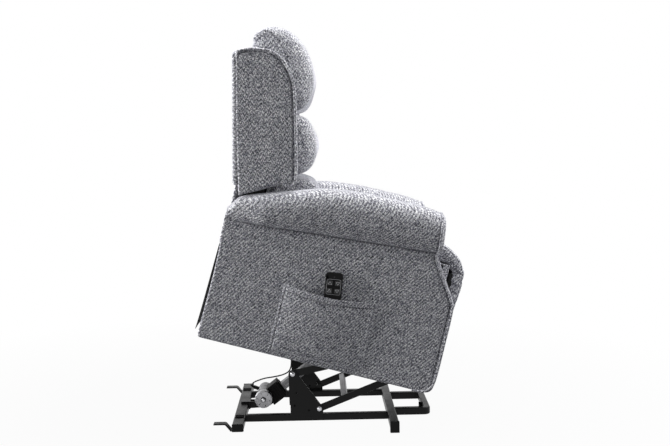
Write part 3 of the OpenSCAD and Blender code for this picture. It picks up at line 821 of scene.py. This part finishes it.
def sewn(mesh, seam, pucker, pitch=0.05, reach=0.035, depth=0.0028, width=0.0035):
    """Draws a mesh in along a closed seam: a bell-shaped groove, and puckers whose depth is a high power
    of a cosine along the seam and dies away from it, with phase and strength that drift."""
    points, normals = coordinates(mesh), outward(mesh)
    close = np.where(((points > seam.min(0) - 3 * reach) & (points < seam.max(0) + 3 * reach)).all(1))[0]
    gap, at = nearest(points[close], seam)
    along = at / len(seam) * np.linalg.norm(np.roll(seam, -1, 0) - seam, axis=1).sum()
    phase = 2 * math.pi * along / pitch + 1.7 * np.sin(along * 23) + 1.1 * np.sin(along * 51 + 1)
    strength = 0.65 + 0.35 * np.sin(along * 17 + 2)
    sink = depth * np.exp(-((gap / width) ** 2))
    sink += pucker * strength * (0.5 + 0.5 * np.cos(phase)) ** 5 * np.exp(-gap / reach)
    points[close] -= normals[close] * sink[:, None]
    move_to(mesh, points)


def cushion(name, outline, half, body, stands_for, edge, shrink, puckers, rests, place=np.asarray,
            voxel=0.006, cap=0.022, pressure=4.0, swell=0.010, finish=tweed, lean=(0, 0), relax=8):
    """A stuffed cushion, with a seam round each of its two side panels. Points past a plane that it
    rests on, given by a point on it and its outward direction, are pressed back to it."""
    outline = inset(flowing(np.asarray(outline) * MM, 240), shrink)
    rows = place(loaf(outline, half - shrink, edge, lean))
    seams = [even(rows[k], 700, closed=True) for k in (1, -2)]
    voxel = voxel * 1
    mesh = blown(name, rows, np.vstack(seams), voxel, cap, pressure, relax)
    for seam in seams:
        sewn(mesh, seam, puckers)
    points = coordinates(mesh)
    for at, way in rests:
        points -= np.maximum(0, (points - at) @ way)[:, None] * way
    move_to(mesh, points)
    mesh.shade_smooth()
    piece(name, mesh, finish, body, [stands_for])
    low, high = (corner.round() for corner in (points.min(0) / MM, points.max(0) / MM))
    print(name, len(mesh.polygons), "faces, from", low, "to", high)


# %% [markdown]
# ## The back pillows
# Three pillows hang one over the other on the back: a deep head roll, a lumbar roll and a flatter
# one that meets the seat. Their side panels are smaller than their middles, because the stuffing
# swells them, so each seam shows well inside the outline.

# %% Back pillows
UP, DOWN = np.array([0, 0, 1.0]), np.array([0, 0, -1.0])


def flat_sides(y):
    """The two planes that keep the side panels from doming."""
    return [((0, sign * y, 0), np.array([0, sign, 0.0])) for sign in (-1, 1)]


head = [(122, 1116), (150, 1110), (200, 1108), (248, 1109), (278, 1137), (291, 1184), (296, 1226),
        (291, 1270), (276, 1316), (250, 1360), (214, 1394), (178, 1410), (140, 1414), (104, 1405),
        (78, 1380), (66, 1342), (78, 1290), (104, 1210), (112, 1140)]
lumbar = [(113, 905), (121, 892), (180, 887), (240, 888), (270, 900), (291, 930), (301, 975), (298, 1022),
          (285, 1064), (266, 1097), (236, 1105), (180, 1106), (124, 1103), (113, 1088)]
lower = [(113, 748), (122, 737), (160, 734), (196, 742), (212, 764), (232, 776), (262, 768), (296, 762),
         (312, 785), (312, 815), (303, 848), (284, 874), (248, 885), (180, 886), (122, 883), (112, 868)]
cushion("head_cushion", head, 0.286, "back", "head_pillow", edge=0.060, shrink=0.010, puckers=0.011,
        lean=(-0.048, 0.034), rests=[((0, 0, 1.1072), DOWN), *flat_sides(0.280)])
cushion("lumbar_cushion", lumbar, 0.284, "back", "lumbar_pillow", edge=0.042, shrink=0.010, puckers=0.008,
        lean=(-0.020, 0), rests=[((0, 0, 1.1062), UP), ((0, 0, 0.8868), DOWN), *flat_sides(0.279)])
cushion("lower_cushion", lower, 0.240, "back", "lower_pillow", edge=0.022, shrink=0.009, puckers=0.003,
        rests=[((0, 0, 0.8858), UP)])

# %% [markdown]
# ## The seat and the legrest pad
# The seat cushion runs on over the front rail and hangs there as a soft bridge to the legrest,
# whose pad is a thin board cushion. Both are thin, so they swell little and their seams sit close
# to their edges. The rail below is wrapped in the cover's cloth, and the board in black lining.

# %% Seat and legrest
down, back = (seated(way) - seated([0, 0, 0]) for way in ([0, 0, -1], [-1, 0, 0]))
thin = {"place": seated, "shrink": 0.004, "puckers": 0.003, "cap": 0.005, "swell": 0.003, "relax": 2,
        "finish": tweed_seat}
seat = [(222, 436), (221, 462), (236, 478), (290, 486), (400, 488), (560, 494), (660, 502), (725, 505),
        (753, 498), (782, 483), (811, 461), (829, 434), (837, 419), (836, 402), (814, 400), (794, 402),
        (780, 416), (769, 430), (758, 433), (738, 433), (716, 432), (704, 430), (600, 428), (350, 428),
        (240, 428)]
cushion("seat_cover", seat, 0.249, "chair", "seat_cushion", edge=0.012, voxel=0.0062, pressure=2.5,
        rests=[(seated([0.8, 0, 0.4105]), down)], **thin)
leg_pad = [(787, 97), (808, 92), (824, 104), (829, 160), (830, 230), (835, 300), (839, 360), (838, 396),
           (833, 418), (808, 424), (790, 416), (784, 400), (784, 330), (784, 250), (784, 170)]
cushion("legrest_cover", leg_pad, 0.249, "footrest", "footrest_pad", edge=0.010, voxel=0.0055, pressure=1.5,
        rests=[(seated([0.7832, 0, 0.25]), back), (seated([0.8, 0, 0.4095]), -down)], **thin)
wrap = block((0.7822, -0.2408, 0.1032), (0.7958, 0.2408, 0.4045), 0.002)
piece("legrest_lining", [shell(seated(wrap))], lining, "footrest")
rails = [block((0.722, -0.247, 0.396), (0.756, 0.247, 0.432), 0.004)]
rails += [block((0.722, y, 0.345), (0.774, y + 0.009, 0.432), 0.003) for y in (-0.247, 0.238)]
piece("front_rail", [shell(seated(r)) for r in rails], tweed_seat, "chair", ["seat_rails"])
rail = block((0.190, -0.255, 0.396), (0.214, 0.255, 0.436), 0.002)
piece("rear_rail", [shell(seated(rail))], softwood, "chair")

# %% [markdown]
# ## The wings and the outside back
# A wing is a thick board, padded and wrapped, with a cord sewn round the top and front of its show
# face. The cord sits in a groove that it pulls in the cloth beside it, deepest where the cloth
# turns the corner. The outside back is a thin stretched panel that shows as a pale strip behind.

# %% Wings
WING_FACE, WING_INNER = 370 * MM, 292 * MM
wing = [(26, 833), (48, 836), (82, 843), (110, 850), (134, 856), (152, 861), (168, 864), (182, 861),
        (197, 854), (212, 858), (221, 874), (225, 920), (226, 1100), (224, 1177), (219, 1213), (210, 1238),
        (201, 1256), (190, 1275), (177, 1290), (160, 1303), (141, 1312), (110, 1317), (80, 1319), (50, 1316),
        (34, 1311), (26, 1303)]
wing_outline = even(flowing(np.array(wing) * MM, 600), 460, closed=True)
BLUR = 20  # points over which the groove fades
corded = (wing_outline[:, 0] > 0.195) | (wing_outline[:, 1] > 1.296)
corded = np.concatenate([corded[-BLUR:], corded, corded[:BLUR]]).astype(float)
groove = np.convolve(corded, np.ones(BLUR + 1) / (BLUR + 1), "same")[BLUR:-BLUR]
start, stop = (index_near(wing_outline, end) for end in ([0.197, 0.8540], [0.030, 1.305]))
walk = np.arange(start, stop) if stop > start else np.arange(start, stop - len(wing_outline), -1)
cord_line = inset(wing_outline, 0.0038)[walk]
wing_panel = panel(
    wing_outline, WING_FACE - WING_INNER, 0.009, crown=0.001, dip=0.008 * groove, dip_at=0.0120,
    waves=0.0007,
)
for sign, hand in HANDS:
    rows = side_on(wing_panel, WING_FACE - 0.0015, sign)
    made = piece("wing_cover_" + hand, [shell(rows)], tweed, "back", ["wing_" + hand])
    cord = upright(cord_line, WING_FACE - 0.0022, sign)
    piece("wing_piping_" + hand, [tube(cord, 0.0045)], tweed, "back", smooth=180)
print(f"wing piping: {stretches(cord_line).sum() / MM:.0f} mm each")

# %% Outside back
back_outline = rectangle((-0.366, 0.864), (0.366, 1.312), 0.012, 400, top_cut=0.03)
rows = panel(back_outline, 0.018, 0.0088, crown=0.002, waves=0.0008, rings=26)
rear_face = 0.007 + 0.009 * np.clip((rows[..., 1] - 0.864) / 0.434, 0, 1)
x = rear_face + rows[..., 2] * (0.034 - rear_face) / 0.018
rows = np.stack([x, rows[..., 0], rows[..., 1]], -1)
piece("outside_back", [shell(rows)], tweed, "back", ["back_shell"])
lip = block((0.0255, -0.2905, 1.3052), (0.056, 0.2905, 1.3135), 0.003)
piece("back_lip", [shell(lip)], tweed, "back")
FOOT, FOOT_TALL = 0.362, 0.162
skirt = panel(rectangle((-0.247, FOOT), (0.247, 0.524), 0.004, 300), 0.010, 0.003, waves=0.0006, rings=20)
x = -0.0165 - 0.0035 * (skirt[..., 1] - FOOT) / FOOT_TALL + skirt[..., 2]
piece("back_skirt", [shell(seated(np.stack([x, skirt[..., 0], skirt[..., 1]], -1)))], tweed_seat, "back")

# %% [markdown]
# ## The handset pocket
# The pocket is a single piece of cloth sewn to the side along three edges, cut a little too wide so
# it stands off and its hem sags between the two top corners. It is a sheet: one grid of points,
# made 2 mm thick by Solidify. The hem is a fold, so it stands prouder, over a row of stitches.

# %% Pocket
HEM, STITCH_ROW = 0.0185, 0.0208  # below the pocket's upper edge


def pocket_top(u, highest):
    """Height of the hem or of the stitch row, which sag between the two top corners."""
    return highest + 0.011 * u - 0.015 * np.sin(math.pi * u)


def pocket_point(u, v):
    """A point of the pocket: u across, v up. It stands off by a power of a half sine across and rises
    off the side with a power of v; the hem is lifted, its stitch row sunk, and the side seams too."""
    top = pocket_top(u, 0.250)
    z = 0.020 + (top - 0.020) * v
    off = 0.025 * np.maximum(0.02, np.sin(math.pi * u)) ** 0.55 * v**0.38
    under_top = top - z
    off = off + 0.0026 * (under_top < HEM) - 0.0030 * np.exp(-(((under_top - STITCH_ROW) / 0.0024) ** 2))
    off = off - 0.0028 * (np.exp(-(((u - 0.034) / 0.007) ** 2)) + np.exp(-(((u - 0.966) / 0.007) ** 2)))
    off = off + 0.0012 * np.sin(7 * u + 5 * v) * np.sin(math.pi * u) * v
    return np.stack([0.226 + 0.324 * u, -SIDE_FACE - 0.0015 - off, z], -1)


def cloth_sheet(name, grid, thickness, *args, **kinds):
    """A single sheet on a grid of points, made thick; gives its piece and its mean size across and down."""
    made = piece(name, [shell(grid, closed=False, poles=False)], *args, smooth=180, **kinds)
    solid = made.modifiers.new("cloth", "SOLIDIFY")
    solid.thickness, solid.offset = thickness, 0.0
    size = (float(np.linalg.norm(np.diff(grid, axis=k), axis=-1).sum(k).mean()) for k in (0, 1))
    return made, *size


rise = np.concatenate([np.linspace(0, 0.87, 58), np.linspace(0.875, 1, 30)])
grid = seated(pocket_point(*np.meshgrid(np.linspace(0, 1, 141), rise, indexing="ij")))
pocket, across, tall = cloth_sheet("pocket", grid, 0.002, tweed_seat, "chair", ["side_pocket"])
arc = 0.0012 * np.sin(math.pi * np.linspace(0, 1, 5))
stitches = []
for a in np.linspace(0.03, 0.97, 51)[:-1]:
    at = np.linspace(a, a + 0.0125, 5)
    top = pocket_top(at, 0.230)  # above the foot
    run = pocket_point(at, (top - STITCH_ROW) / top) + np.array([0, -1, 0]) * arc[:, None]
    stitches.append(tube(seated(run), 0.0009, sides=6))
thread = piece("pocket_stitches", stitches, key_top, "chair", slot="upholstery", smooth=180)
print(f"pocket: cut {across / MM:.0f} by {tall / MM:.0f} mm, {len(stitches)} stitches")

# %% [markdown]
# ## The rear flap
# A black dust flap closes the gap behind the seat. It is sewn to the foot of the back and hangs
# to the bottom of the frame; here it is one fixed sheet on no body.

# %% Flap
FLAP_HALF, FLAP_TALL, SEWN_X = 0.245, 0.356, -0.018
y, v = np.meshgrid(np.linspace(-FLAP_HALF, FLAP_HALF, 90), np.linspace(0, 1, 60), indexing="ij")
fold = -0.0235 - 0.0105 * v - 0.0012 * np.sin(y * 29.7 + 0.35) * v
fold = fold - 0.002 * v**8 * (np.abs(y) / FLAP_HALF) ** 6
grid = seated(np.stack([fold, y, FLAP_TALL - FLAP_TALL * v], -1))
flap, wide, drop = cloth_sheet("dust_flap", grid, 0.0015, lining, replaces=["rear_flap"])
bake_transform(flap)
print(f"flap: cut {wide / MM:.0f} by {drop / MM:.0f} mm")

# %% [markdown]
# ## Steel parts with real edges
# Bent and sawn steel never has a knife edge: a radius of a millimetre catches a thin line of
# light. The frame's meshes are exact and sharp, so each visible part is copied, its loose
# triangles are merged, flat faces are joined again, and a Bevel rounds only the sharp edges.

# %% Softened copies
SHARP = math.radians(40)


def softened(name, width, finish):
    """A copy of a CAD part with merged points, joined flat faces and rounded sharp edges; it takes the
    part's body."""
    source = frame["nodes"][name]
    triangles = np.empty(len(source.data.polygons) * 3, np.int32)
    source.data.polygons.foreach_get("vertices", triangles)
    mesh = bpy.data.meshes.new(name + "_edged")
    mesh.from_pydata(coordinates(source.data).tolist(), [], triangles.reshape(-1, 3).tolist())
    work = bmesh.new()
    work.from_mesh(mesh)
    bmesh.ops.remove_doubles(work, verts=work.verts, dist=1e-5)
    bmesh.ops.dissolve_limit(work, angle_limit=math.radians(1.0), verts=work.verts, edges=work.edges)
    work.to_mesh(mesh)
    work.free()
    mesh.shade_smooth()
    mesh.set_sharp_from_angle(angle=SHARP)
    made = piece(name + "_edged", mesh, finish, body_of[name], [name], slot_of[name])
    bevel = made.modifiers.new("edges", "BEVEL")
    bevel.width, bevel.segments = width, 2
    bevel.limit_method, bevel.angle_limit = "ANGLE", SHARP
    bevel.harden_normals = True


slot_of = {p["node"]: p["material_slot"] for p in frame["record"]["subparts"]}
body_of = {n: body for body, members in frame["record"]["behaviour"]["bodies"].items() for n in members}
for finish, widths in (
    (powder, {
        "tower_plates": 0.0008, "rear_hooks": 0.0012, "bumper": 0.004, "motor_clevis": 0.0008,
        "upper_links": 0.0012, "lower_links": 0.0012, "lift_rails": 0.0008, "back_plates": 0.0008,
        "back_lever": 0.0008, "leg_rear_arms": 0.0010, "leg_front_arms": 0.0010, "footrest_brackets": 0.0008,
        "cross_tubes": 0.0018,
    }),
    (moulded, {
        "end_caps": 0.0025, "lift_gearbox": 0.002, "lift_carriage": 0.002, "back_carriage": 0.002,
        "control_box": 0.003, "back_drive": 0.002, "handset_case": 0.0025,
    }),
    (rubber, {"feet": 0.001, "tube_pads": 0.0008}),
    (satin, {"lift_rail": 0.0016, "lower_cross_tube": 0.002}),
    # The back's wooden stiles and rails take the black lining: painted shade, since they show in the dark gap
    # under each wing.
    (lining, {"back_stiles": 0.0015, "back_rails": 0.0015, "footrest_board": 0.0012}),
    (webbing, {"seat_deck": 0.0008}),
):
    for name, width in widths.items():
        softened(name, width, finish)

# %% [markdown]
# ## The floor frame's tubes
# The floor frame is square tube with a rolled corner radius. Each tube is a rounded square carried
# from end to end, out along the outside and back along the bore, so it is hollow to look into.

# %% Square tubes
def square_tube(low, high, axis, corner=0.004, wall=0.002):
    """A hollow rounded square carried along X (0) or Y (1) between two corners of its box: the grid runs
    out over the outside, in at the far end and back through the bore."""
    low, high = np.array(low) * MM, np.array(high) * MM
    across, count = 1 - axis, 64
    outside, bore = (
        rectangle((low[across] + d, low[2] + d), (high[across] - d, high[2] - d), corner - d / 2, count)
        for d in (0.0, wall)
    )
    near, middle, far = low[axis], (low[axis] + high[axis]) / 2, high[axis]
    rows = np.empty((6, count, 3))
    for row, at, ring in zip(rows, (near, middle, far, far, middle, near), [outside] * 3 + [bore] * 3):
        row[:, axis], row[:, across], row[:, 2] = at, ring[:, 0], ring[:, 1]
    return looped(rows)


for name, part, tubes in (
    ("rear_floor_tube", "rear_tube", [square_tube((-20, -300, 8), (20, 300, 33), 1)]),
    ("front_floor_tube", "front_tube", [square_tube((529, -320, 8), (559, 320, 38), 1)]),
    ("floor_rails", "side_rails",
     [square_tube((20, s * 172 - 12.5, 8), (529, s * 172 + 12.5, 33), 0) for s in (-1, 1)]),
):
    piece(name, tubes, powder, "base", [part])

# %% [markdown]
# ## The lift motor
# The motor is a plated can with rolled bands and a bright end bell. Its end shows rings: a rim, a
# face with a few small holes, a dark seal and a polished shaft boss. The holes are black discs on
# the face, painted shade for their dark insides. Turned parts like these are one profile spun about the
# shaft.

# %% Motor
DRIVE_AT, DRIVE_ANGLE = np.array([60, 28]), math.radians(37)
SHAFT = (37, 17)
PLUG_ANGLE = DRIVE_ANGLE + math.radians(122.3)


def driven(points):
    """Points in the lift drive's own axes (mm, X along the rail from its rear pivot) as frame metres."""
    p = np.asarray(points, float)
    c, s = math.cos(DRIVE_ANGLE), math.sin(DRIVE_ANGLE)
    x, z = DRIVE_AT[0] + c * p[..., 0] - s * p[..., 2], DRIVE_AT[1] + s * p[..., 0] + c * p[..., 2]
    return np.stack([x, p[..., 1], z], -1) * MM


def spun(name, profile, finish, slot=None, replaces=()):
    """A turned part on the motor's shaft line; the profile is (radius, Y) in millimetres."""
    form = turned(np.array(profile, float) * MM, driven([SHAFT[0], 0, SHAFT[1]]), sides=72)
    piece(name, [form], finish, "lift_drive", replaces, slot, smooth=30)


def at_each(profile, places):
    """The same small turned profile, in millimetres, at each place in the drive's axes."""
    return [turned(np.array(profile) * MM, driven(place), sides=16) for place in places]


can = [(0.01, -52), (25.2, -52), (26, -51)]
for y in (-44, -38, 20, 26, 66):
    can += [(26, y - 1.5), (25.1, y - 0.8), (25.1, y + 0.8), (26, y + 1.5)]
can += [(26, 83), (24.5, 86), (0.01, 86)]
bell = [(9.6, -86.5), (12, -86.5), (12.4, -87.5), (19.2, -87.5), (19.6, -88.6), (27.0, -88.6), (27.4, -87.6),
        (28.6, -87.6), (29, -88.8), (30.6, -88.8), (31.5, -87.6), (31.5, -84), (31.1, -83.5), (31.1, -82.5),
        (31.5, -82), (31.5, -56), (30, -52), (0.01, -52), (0.01, -80), (9.6, -80)]
boss = [(0.01, -92.6), (2.6, -92.6), (3.0, -93.6), (5.6, -94), (6.2, -93.4), (6.2, -80.5), (0.01, -80.5)]
spun("motor_can", can, satin, "zinc", ["lift_motor"])
spun("motor_end_bell", bell, cast, replaces=["motor_cap"])
spun("motor_boss", boss, plated)
spun("motor_seal", [(6.4, -88.9), (9.3, -88.9), (9.3, -80.5), (6.4, -80.5)], rubber)
around = [math.radians(60 * k + 12) for k in range(6)]
places = [[SHAFT[0] + 23.2 * math.cos(a), -88.75, SHAFT[1] + 23.2 * math.sin(a)] for a in around]
# Painted shade: black discs on the end bell's face where its small holes are dark inside.
holes = at_each([(0.01, -0.25), (1.7, -0.25), (1.9, 0), (1.9, 0.6), (0.01, 0.6)], places)
piece("motor_end_hole_shade", holes, moulded, "lift_drive")
points, faces = shell(block((-0.006, 0.0, -0.011), (0.006, 0.012, 0.011), 0.0012))
outwards = np.array([math.cos(PLUG_ANGLE), 0, math.sin(PLUG_ANGLE)])
square_to = np.array([-outwards[2], 0, outwards[0]])
points[:, 2] += 35 * MM
points = driven([SHAFT[0], 44, SHAFT[1]]) + points @ np.array([square_to, (0, 1, 0), outwards])
piece("motor_plug", [(points, faces)], moulded, "lift_drive")

# %% Gearbox ribs
ribs = []
for x in np.linspace(54, 100, 6):
    points, faces = shell(block((x - 1.2, -36.2, -28), (x + 1.2, -33.0, 28), 0.7))
    ribs.append((driven(points), faces))
piece("gearbox_ribs", ribs, moulded, "lift_drive")
screws = at_each(
    [(0.01, -1.9), (2.0, -1.9), (3.2, -1.2), (3.4, 0.4), (0.01, 0.4)],
    [(x, -34.2, z) for z in (-27, 27) for x in (52, 100)],
)
piece("gearbox_screws", screws, moulded, "lift_drive")

# %% [markdown]
# ## Pivot bolts
# The links hang on shouldered bolts. Their plated domed heads are the only bright points on the
# black towers; inside, a hexagon nut holds each one. Three spare holes hold near-black rubber plugs
# with little gloss: painted shade, for the dark inside the holes. A hexagon is a turned profile with six
# sides.

# %% Bolts
PIVOTS = ((190.5, 179.5), (284.5, 51.7))
SPARE_HOLES = ((201.4, 112), (196, 65), (247, 47))
dome = [(0.01, 174), (6, 174), (6, 188.4), (8.2, 188.4), (8.2, 188.8), (8.0, 189.0), (7.0, 189.0),
        (7.0, 189.3), (6.3, 190.9), (4.5, 192.4), (2.3, 193.2), (0.01, 193.4)]
nut = [(0.01, 168.8), (8.0, 168.8), (9.0, 169.6), (9.0, 173.4), (8.2, 174.2), (0.01, 174.2)]
# Painted shade: a dark plug where a spare hole is dark inside.
hole_shade_plug = [(0.01, 184.8), (4.2, 184.8), (4.2, 188.2), (3.7, 188.6), (3.2, 187.9), (0.01, 187.9)]


def in_towers(profile, places, sides):
    """The same turned profile, (radius, distance from the middle plane) in mm, at each place in both
    towers."""
    return [
        turned(np.array(profile) * MM, np.array([x, 0, z]) * MM, (0, sign, 0), sides)
        for x, z in places for sign in (-1, 1)
    ]


piece("pivot_bolts", in_towers(dome, PIVOTS, 40), plated, "base", ["tower_bolts"])
piece("pivot_nuts", in_towers(nut, PIVOTS, 6), powder, "base")
piece("tower_hole_shade_plugs", in_towers(hole_shade_plug, SPARE_HOLES, 20), rubber, "base")

# %% [markdown]
# ## The handset
# The handset sits in the pocket. Its four soft keys work the back and the lift, one pair each, up
# on the left and down on the right, inside a thin printed border. Border and arrows are small
# raised shapes, so they read as edges from any side.

# %% Handset
HANDSET_AT, HANDSET_ANGLE = (407, -394.5, 163), math.radians(-8.5)
WIRE_R = 0.0006
ARROWS = {"up": [(-6.2, -4.4, 1), (6.2, -4.4, 1), (0, 5.2, 1.4)],
          "down": [(-6.2, 4.4, 1), (0, -5.2, 1.4), (6.2, 4.4, 1)]}


def held(points):
    """Points in the handset's own axes (mm, Z up its face, Y out of its back) as frame metres."""
    p = np.asarray(points, float)
    c, s = math.cos(HANDSET_ANGLE), math.sin(HANDSET_ANGLE)
    x, z = HANDSET_AT[0] + c * p[..., 0] + s * p[..., 2], HANDSET_AT[2] - s * p[..., 0] + c * p[..., 2]
    return seated(np.stack([x, HANDSET_AT[1] + p[..., 1], z], -1) * MM)


def raised_line(name, line, x, y, z, body):
    """A closed line, drawn in mm round a point of the handset, as a thin raised wire."""
    path = held(np.column_stack([x + line[:, 0], np.full(len(line), y), z + line[:, 1]]))
    piece(name, [tube(path, WIRE_R, sides=8, closed=True)], legend, body, smooth=180)


raised_line("handset_border", rectangle((-23.5, 92), (23.5, 143), 5, 160, top_cut=8), 0, 0, 0, "handset")
for drive, z in (("back", 130), ("lift", 104)):
    for way, x in (("up", -13), ("down", 13)):
        name = f"key_{drive}_{way}"
        softened(name, 0.0012, key_top)
        raised_line(name + "_arrow", cornered(ARROWS[way], 60), x, -1.7, z, body_of[name])
lens = np.array([(0.01, -0.9), (1.4, -0.7), (2.2, 0.0), (2.2, 0.6), (0.01, 0.6)]) * MM
piece("handset_light", [turned(lens, held([0, -0.1, 151]), sides=20)], key_top, "handset")

# %% [markdown]
# ## Parts that keep their shape
# Whatever is still shown as the frame gave it gets its finish by its slot in the record.

# %% Carried-over parts
usual = {}
for finish, slot in SLOT.items():
    usual.setdefault(slot, finish)
for name, part in frame["nodes"].items():
    part.data.materials.clear()
    part.data.materials.append(powder if name == "clevis_pin" else usual[slot_of[name]])
print("finishes given to", len(frame["nodes"]), "frame parts")

# %% [markdown]
# ## The room
# A pale floor and soft lamps at a plain level. The chair is lit mostly from above and in front, so
# its camera side is in mild shade and its tops are pale. The white surroundings are shown only to
# the camera and to reflections, and light nothing; the floor fades into them away from the chair.

# %% World and lamps
def seen_by(tree, first, *others):
    """1 for light paths of any of these kinds, else 0."""
    path = node(tree, "LightPath").outputs
    seen = path[first]
    for kind in others:
        seen = maths(tree, "MAXIMUM", seen, path[kind])
    return seen


world = bpy.data.worlds.new("studio")
bpy.context.scene.world = world
world.use_nodes = True
tree = world.node_tree
tree.nodes.clear()
seen = seen_by(tree, "Is Camera Ray", "Is Glossy Ray", "Is Transmission Ray")
fill = node(tree, "Background", {"Color": (0.96, 0.98, 1.0, 1), "Strength": 0.23}).outputs[0]
white = node(tree, "Background", {"Color": (1, 1, 1, 1), "Strength": 1.0}).outputs[0]
shown = node(tree, "MixShader", {"Fac": seen, 1: fill, 2: white}).outputs[0]
tree.links.new(shown, node(tree, "OutputWorld").inputs[0])


def lamp(name, place, aim, size, watts):
    """A soft square lamp at a place, turned to its aim."""
    light = bpy.data.lights.new(name, "AREA")
    light.energy, light.size = watts, size
    made = bpy.data.objects.new(name, light)
    made.location = place
    made.rotation_euler = (Vector(aim) - Vector(place)).to_track_quat("-Z", "Y").to_euler()
    bpy.context.scene.collection.objects.link(made)


lamp("overhead", (0.7, 0.2, 3.4), (0.15, 0.0, 0.8), 1.9, 90)
lamp("front", (2.8, -0.5, 2.2), (0.2, 0, 0.8), 2.2, 60)
lamp("rear", (-2.9, -0.4, 1.4), (0.0, 0, 0.9), 1.8, 150)

# %% Floor
floor = bpy.data.objects.new("floor", bpy.data.meshes.new("floor"))
far = 30
floor.data.from_pydata([(-far, -far, 0), (far, -far, 0), (far, far, 0), (-far, far, 0)], [], [(0, 1, 2, 3)])
bpy.context.scene.collection.objects.link(floor)
material = bpy.data.materials.new("pale_floor")
material.use_nodes = True
tree = material.node_tree
tree.nodes.clear()
away = node(tree, "VectorMath", {0: node(tree, "TexCoord").outputs["Object"]}, operation="LENGTH")
fade = {"From Min": 0.7, "From Max": 2.2, "To Min": 0.96, "To Max": 1.0}
share = node(tree, "MapRange", {"Value": away.outputs["Value"], **fade}).outputs[0]
seen = maths(tree, "MULTIPLY", seen_by(tree, "Is Camera Ray", "Is Glossy Ray"), share)
plain = node(tree, "BsdfDiffuse", {"Color": (0.10, 0.10, 0.105, 1)}).outputs[0]
glow = node(tree, "Emission", {"Color": (1, 1, 1, 1), "Strength": 1.0}).outputs[0]
shown = node(tree, "MixShader", {"Fac": seen, 1: plain, 2: glow}).outputs[0]
tree.links.new(shown, node(tree, "OutputMaterial").inputs[0])
floor.data.materials.append(material)
